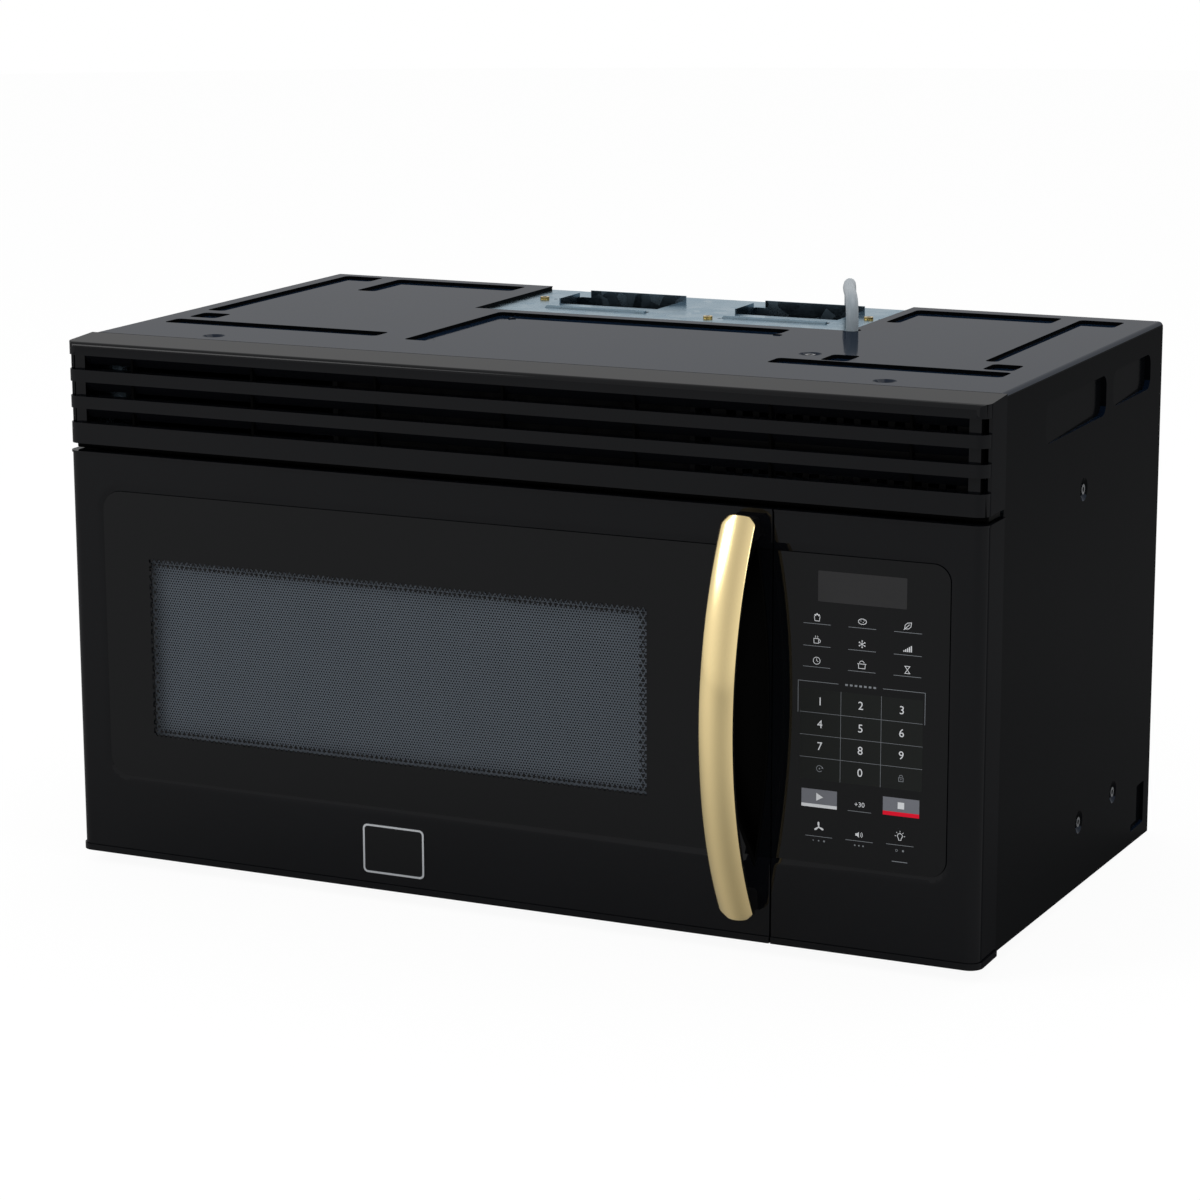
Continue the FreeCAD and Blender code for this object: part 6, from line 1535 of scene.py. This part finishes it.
# ---- control panel ----------------------------------------------------------------------------
@dataclass
class Panel:
    """Touch controls: printed pictograms, a figure pad and two lit keys, from the glass's lower right."""

    edge: float = 0.0006
    columns: tuple[float, float, float] = (-100.7, -66.0, -31.4)
    rows: tuple[float, float, float] = (183.5, 167.0, 151.5)
    rule_drop: float = 4.6
    rule_half: float = 10.5
    rule: float = 0.35
    pad: tuple[float, float, float, float] = (-113.2, -19.0, 62.7, 130.2)
    pad_columns: tuple[float, float] = (-81.7, -50.7)
    pad_rows: tuple[float, float, float] = (79.3, 96.0, 112.8)
    figures_x: tuple[float, float, float] = (-97.7, -66.4, -35.0)
    figures_z: tuple[float, float, float, float] = (121.2, 104.3, 87.8, 71.3)
    figure_height: float = 6.0
    bracket: tuple[float, float, float, float] = (-115.0, -17.4, 112.3, 136.0)
    bracket_gap: tuple[float, float] = (-83.7, -49.7)
    start: tuple[float, float, float, float] = (-111.5, -83.9, 42.0, 55.5)
    stop: tuple[float, float, float, float] = (-48.5, -20.7, 42.7, 56.2)
    white_stripe: float = 2.4
    red_stripe: float = 3.0
    plus_z: float = 47.6
    plus_height: float = 3.6
    plus_rule: float = 42.7
    plus_half: float = 9.0
    sign_levels: tuple[float, float, float] = (27.3, 25.2, 27.7)
    rule_levels: tuple[float, float, float] = (20.3, 20.6, 21.3)
    dots_z: float = 17.0
    white_level: float = 0.05
    grey_level: float = 0.03
    glass_lift: float = 0.00004

    def pictograms(self, s: Sheet, grey: Sheet) -> None:
        """Nine plain signs of the cooking keys, each over its rule.

        Args:
            s: The sheet of the signs.
            grey: The sheet of the rules.
        """
        signs = (self.bag, self.tuber, self.leaf, self.mug, self.flake, self.bars,
                 self.clock, self.pot, self.glass)
        for i, sign in enumerate(signs):
            x, z = self.columns[i % 3], self.rows[i // 3]
            sign(s, x, z)
            top = z - self.rule_drop
            grey.bar(x - self.rule_half, x + self.rule_half, top - self.rule, top)

    @staticmethod
    def bag(s: Sheet, x: float, z: float) -> None:
        """Open bag with three kernels.

        Args:
            s: The sheet that takes the sign.
            x: Middle of the sign.
            z: Height of its middle.
        """
        s.stroke([(x - 2.2, z + 0.8), (x - 1.7, z - 2.6), (x + 1.7, z - 2.6), (x + 2.2, z + 0.8)])
        for side in (-1.4, 0.0, 1.4):
            s.disc(x + side, z + 1.6 + (0.7 if side == 0.0 else 0.0), 0.75, steps=10)

    @staticmethod
    def tuber(s: Sheet, x: float, z: float) -> None:
        """Oval tuber with three eyes.

        Args:
            s: The sheet that takes the sign.
            x: Middle of the sign.
            z: Height of its middle.
        """
        points = [(x + 3.1 * math.cos(a), z + 2.0 * math.sin(a))
                  for a in (math.pi / 9 * k for k in range(19))]
        s.stroke(points)
        for dx, dz in ((-1.2, 0.5), (0.6, -0.6), (1.3, 0.8)):
            s.disc(x + dx, z + dz, 0.32, steps=8)

    @staticmethod
    def leaf(s: Sheet, x: float, z: float) -> None:
        """Leaf with its rib.

        Args:
            s: The sheet that takes the sign.
            x: Middle of the sign.
            z: Height of its middle.
        """
        side = [(x - 2.6, z - 2.2), (x - 2.2, z + 0.6), (x - 0.4, z + 2.2), (x + 2.6, z + 2.6),
                (x + 2.2, z - 0.4), (x + 0.4, z - 2.0), (x - 2.6, z - 2.2)]
        s.stroke(side)
        s.stroke([(x - 3.2, z - 2.9), (x + 1.2, z + 1.2)])

    @staticmethod
    def mug(s: Sheet, x: float, z: float) -> None:
        """Mug with a handle and steam.

        Args:
            s: The sheet that takes the sign.
            x: Middle of the sign.
            z: Height of its middle.
        """
        s.stroke([(x - 2.4, z + 0.8), (x - 2.2, z - 2.6), (x + 1.2, z - 2.6), (x + 1.4, z + 0.8),
                  (x - 2.4, z + 0.8)])
        s.arc(x + 1.5, z - 0.9, 1.2, -80, 80)
        for side in (-1.3, 0.3):
            s.stroke([(x + side, z + 1.5), (x + side + 0.4, z + 2.2), (x + side, z + 2.9)], 0.35)

    @staticmethod
    def flake(s: Sheet, x: float, z: float) -> None:
        """Six-armed frost star.

        Args:
            s: The sheet that takes the sign.
            x: Middle of the sign.
            z: Height of its middle.
        """
        for k in range(3):
            a = math.pi / 3 * k + math.pi / 6
            dx, dz = 2.9 * math.cos(a), 2.9 * math.sin(a)
            s.stroke([(x - dx, z - dz), (x + dx, z + dz)], 0.4)
            for way in (-1, 1):
                tip = (x + way * dx * 0.62, z + way * dz * 0.62)
                for turn in (-0.6, 0.6):
                    b = a + turn + (math.pi if way < 0 else 0.0)
                    s.stroke([tip, (tip[0] + 1.0 * math.cos(b), tip[1] + 1.0 * math.sin(b))], 0.32)

    @staticmethod
    def bars(s: Sheet, x: float, z: float) -> None:
        """Rising steps of power."""
        for k in range(5):
            s.bar(x - 3.3 + 1.4 * k, x - 2.4 + 1.4 * k, z - 2.4, z - 1.4 + 0.9 * k)

    @staticmethod
    def clock(s: Sheet, x: float, z: float) -> None:
        """Round dial with two hands."""
        s.arc(x, z, 2.6, 0, 360)
        s.stroke([(x, z + 1.7), (x, z), (x + 1.3, z - 0.7)], 0.4)

    @staticmethod
    def pot(s: Sheet, x: float, z: float) -> None:
        """Lidded pot.

        Args:
            s: The sheet that takes the sign.
            x: Middle of the sign.
            z: Height of its middle.
        """
        s.stroke([(x - 2.6, z + 0.6), (x - 2.4, z - 2.4), (x + 2.4, z - 2.4), (x + 2.6, z + 0.6)])
        s.bar(x - 3.4, x + 3.4, z + 0.7, z + 1.15)
        s.arc(x, z + 1.2, 1.9, 12, 168)

    @staticmethod
    def glass(s: Sheet, x: float, z: float) -> None:
        """Sand glass."""
        s.stroke([(x - 1.9, z + 2.6), (x + 1.9, z + 2.6), (x - 1.9, z - 2.6), (x + 1.9, z - 2.6),
                  (x - 1.9, z + 2.6)])

    @staticmethod
    def fan(s: Sheet, x: float, z: float) -> None:
        """Three fan blades round a hub.

        Args:
            s: The sheet that takes the sign.
            x: Middle of the sign.
            z: Height of its middle.
        """
        for k in range(3):
            a = math.pi / 2 + 2 * math.pi / 3 * k
            s.lift()
            along = Vector((math.cos(a), math.sin(a)))
            across = Vector((-math.sin(a), math.cos(a)))
            shape = ((0.5, 0.35), (2.2, 1.0), (3.7, 0.9), (4.1, 0.1), (3.4, -0.5), (1.8, -0.5),
                     (0.5, -0.35))
            s.face([(x + p.x, z + p.y) for p in (along * u + across * v for u, v in shape)])
        s.disc(x, z, 0.7, steps=12)

    @staticmethod
    def speaker(s: Sheet, x: float, z: float) -> None:
        """Speaker with two waves.

        Args:
            s: The sheet that takes the sign.
            x: Middle of the sign.
            z: Height of its middle.
        """
        s.lift()
        s.face([(x - 2.8, z + 0.9), (x - 1.6, z + 0.9), (x - 0.1, z + 2.1), (x - 0.1, z - 2.1),
                (x - 1.6, z - 0.9), (x - 2.8, z - 0.9)])
        for radius in (1.5, 2.6):
            s.arc(x, z, radius, -48, 48, 0.4)

    @staticmethod
    def bulb(s: Sheet, x: float, z: float) -> None:
        """Bulb with rays.

        Args:
            s: The sheet that takes the sign.
            x: Middle of the sign.
            z: Height of its middle.
        """
        s.arc(x, z + 0.3, 1.9, -55, 235)
        s.stroke([(x - 1.1, z - 1.3), (x - 0.9, z - 2.8), (x + 0.9, z - 2.8), (x + 1.1, z - 1.3)], 0.4)
        for k in range(5):
            a = math.pi / 4 * k
            s.stroke([(x + 2.8 * math.cos(a), z + 0.3 + 2.8 * math.sin(a)),
                      (x + 3.9 * math.cos(a), z + 0.3 + 3.9 * math.sin(a))], 0.4)

    @staticmethod
    def lock(s: Sheet, x: float, z: float) -> None:
        """Padlock.

        Args:
            s: The sheet that takes the sign.
            x: Middle of the sign.
            z: Height of its middle.
        """
        s.stroke([(x - 1.7, z - 2.6), (x + 1.7, z - 2.6), (x + 1.7, z + 0.2), (x - 1.7, z + 0.2),
                  (x - 1.7, z - 2.6)], 0.4)
        s.arc(x, z + 0.9, 1.2, 0, 180, 0.4)
        s.disc(x, z - 1.1, 0.4, steps=8)

    @staticmethod
    def turning(s: Sheet, x: float, z: float) -> None:
        """Dish with an arrow round it.

        Args:
            s: The sheet that takes the sign.
            x: Middle of the sign.
            z: Height of its middle.
        """
        s.arc(x, z, 2.3, 20, 320, 0.4)
        s.disc(x, z, 0.6, steps=10)
        s.lift()
        s.face([(x + 2.3, z + 1.6), (x + 3.1, z + 0.2), (x + 1.4, z + 0.3)])

    def pad_marks(self, white: Sheet, grey: Sheet) -> None:
        """Lines, figures and the two corner signs of the figure pad.

        Args:
            white: Sheet of the white print.
            grey: Sheet of the fine grey lines.
        """
        x0, x1, z0, z1 = self.pad
        fine = 0.25
        for x in self.pad_columns:
            grey.bar(x - fine / 2, x + fine / 2, z0, z1)
        for z in self.pad_rows:
            grey.bar(x0, x1, z - fine / 2, z + fine / 2)
        figures = ((0, 0, "1"), (1, 0, "2"), (2, 0, "3"), (0, 1, "4"), (1, 1, "5"), (2, 1, "6"),
                   (0, 2, "7"), (1, 2, "8"), (2, 2, "9"), (1, 3, "0"))
        for column, row, figure in figures:
            white.text(figure, self.figures_x[column], self.figures_z[row], self.figure_height)
        self.turning(grey, self.figures_x[0], self.figures_z[3])
        self.lock(grey, self.figures_x[2], self.figures_z[3])

    def frame_marks(self, grey: Sheet) -> None:
        """Bracket over the figure pad, with small dots in its gap.

        Args:
            grey: Sheet of the grey print.
        """
        x0, x1, z0, z1 = self.bracket
        fine = 0.35
        for a, b in ((x0, self.bracket_gap[0]), (self.bracket_gap[1], x1)):
            grey.bar(a, b, z1 - fine, z1)
        for x in (x0, x1 - fine):
            grey.bar(x, x + fine, z0, z1 - fine)
        middle = sum(self.bracket_gap) / 2
        for k in range(-3, 4):
            grey.bar(middle + 3.6 * k - 1.0, middle + 3.6 * k + 1.0, z1 - 0.9, z1 + 0.5)

    def key_signs(self, white: Sheet) -> None:
        """Arrow, square and plus figure on and between the two lit keys.

        Args:
            white: Sheet of the white print.
        """
        x, z = (self.start[0] + self.start[1]) / 2, (self.start[2] + self.start[3]) / 2 + 1.2
        white.lift()
        white.face([(x - 2.2, z + 3.0), (x - 2.2, z - 3.0), (x + 3.2, z)])
        x = (self.stop[0] + self.stop[1]) / 2
        white.bar(x - 2.5, x + 2.5, z - 1.8, z + 3.2)
        white.text("+30", self.figures_x[1], self.plus_z, self.plus_height)

    def lower_marks(self, white: Sheet, grey: Sheet) -> None:
        """Fan, speaker and bulb signs, with their rules and the level dots under them.

        Args:
            white: Sheet of the white print.
            grey: Sheet of the grey print.
        """
        signs = (self.fan, self.speaker, self.bulb)
        for x, level, sign in zip(self.figures_x, self.sign_levels, signs):
            sign(white, x, level)
        rules = [(x, level, self.rule_half) for x, level in zip(self.figures_x, self.rule_levels)]
        for x, level, half in rules + [(self.figures_x[1], self.plus_rule, self.plus_half)]:
            grey.bar(x - half, x + half, level - self.rule, level)
        left, middle, right = self.figures_x
        for k in (-1, 0, 1):
            grey.disc(middle + 3.2 * k, self.dots_z, 0.6, steps=10)
            grey.disc(left + 4.2 * k, self.dots_z, 0.45 + 0.15 * (k + 1), steps=10)
        grey.arc(right - 2.5, self.dots_z, 0.8, 0, 360, 0.3)
        grey.disc(right + 2.5, self.dots_z, 0.8, steps=12)
        grey.bar(right - 6.0, right + 6.0, 8.3, 8.8)

    def build(self, frame: dict) -> None:
        """Dress the control panel.

        Args:
            frame: The loaded frame.
        """
        # Faces that look left or right take the darker copy, painted shade.
        body = softened(frame, "control_panel", self.edge, FRONT_BLACK, FRONT_SIDE_PAINTED_SHADE, choose=shaded_side_slot)
        ride(body, "case")
        dress(frame, GLASS_BLACK, "panel_glass")
        dress(frame, DISPLAY, "display_window")
        dress(frame, CIRCUIT, "control_board")
        low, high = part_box("panel_glass")
        origin = Vector((high.x, low.y - self.glass_lift, low.z))
        cells = Sheet()
        cells.bar(*self.pad)
        ride(cells.piece("pad_field", origin, KEY_CELL), "case")
        keys, stripes, red = Sheet(), Sheet(), Sheet()
        for x0, x1, z0, z1 in (self.start, self.stop):
            keys.bar(x0, x1, z0, z1)
        stripes.level = red.level = self.white_level
        stripes.bar(self.start[0], self.start[1], self.start[2], self.start[2] + self.white_stripe)
        red.bar(self.stop[0], self.stop[1], self.stop[2], self.stop[2] + self.red_stripe)
        ride(keys.piece("start_stop_keys", origin, START_KEY), "case")
        ride(red.piece("stop_stripe", origin, RED_PRINT), "case")
        white, grey = Sheet(), Sheet()
        white.level, grey.level = self.white_level, self.grey_level
        self.pictograms(white, grey)
        self.pad_marks(white, grey)
        self.frame_marks(grey)
        self.key_signs(white)
        self.lower_marks(white, grey)
        stripe = stripes.piece("start_stripe", origin, WHITE_PRINT)
        ride(stripe, "case")
        ride(white.piece("white_marks", origin, WHITE_PRINT), "case")
        ride(grey.piece("grey_marks", origin, GREY_PRINT), "case")


# ---- inside and underside ---------------------------------------------------------------------
@dataclass
class Inside:
    """Oven, turntable, blower, electrical parts, filters and lamps."""

    pitch: float = 0.0042
    wire: float = 0.00045
    frame_width: float = 0.009
    mesh_rise: float = 0.0011

    def build(self, frame: dict, weave: Weave) -> None:
        """Dress what the case holds.

        Args:
            frame: The loaded frame.
            weave: Pattern of the grease filters.
        """
        dress(frame, OVEN_ENAMEL, "cavity_box")
        dress(frame, TRAY_GLASS, "glass_tray")
        dress(frame, WHITE_PLASTIC, "roller_ring", "roller_1", "roller_2", "roller_3", "drive_coupler",
              "waveguide_cover", "interlock_bracket", "cooling_fan_blade")
        dress(frame, GALVANISED, "waveguide", "blower_housings", "cooling_fan_shroud")
        dress(frame, STEEL, "turntable_motor", "magnetron", "blower_motor", "capacitor", "blower_shaft")
        dress(frame, COPPER, "transformer", "cooling_fan_motor")
        dress(frame, SATIN_BLACK, "interlock_switches", "blower_wheels")
        dress(frame, BULB, "cavity_lamp", "cooktop_lamps")
        dress(frame, CLEAR_LENS, "light_cover")
        dress(frame, ALUMINIUM, "grease_filter_left", "grease_filter_right")
        for side in ("left", "right"):
            low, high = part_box("grease_filter_" + side)
            middle = (low + high) / 2
            mesh = weave.piece("filter_mesh_" + side, {
                "Width": high.x - low.x - 2 * self.frame_width,
                "Depth": high.y - low.y - 2 * self.frame_width,
                "Pitch": self.pitch, "Wire": self.wire,
                "Place": (middle.x, middle.y, low.z + self.mesh_rise)}, {"Finish": ALUMINIUM})
            ride(mesh, "filter_" + side)


def numbers(box: Sequence[Sequence[float]]) -> list[list[float]]:
    """A box as plain lists.

    Args:
        box: Lowest and highest corner.

    Returns:
        The same numbers in lists.
    """
    return [[float(v) for v in corner] for corner in box]


def main() -> None:
    """Build the oven's looks round the frame, piece by piece."""
    logging.basicConfig(level=logging.INFO, format="%(name)s: %(message)s")
    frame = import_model()
    Studio().build()
    MainsLead().build(frame)
    dots, weave, screws = DotField(), Weave(), ScrewHeads()
    Case().build(frame, screws)
    Grille().build(frame)
    Door().build(frame, dots)
    Panel().build(frame)
    Inside().build(frame, weave)
    LOG.info("all pieces built")


if __name__ == "__main__":
    main()
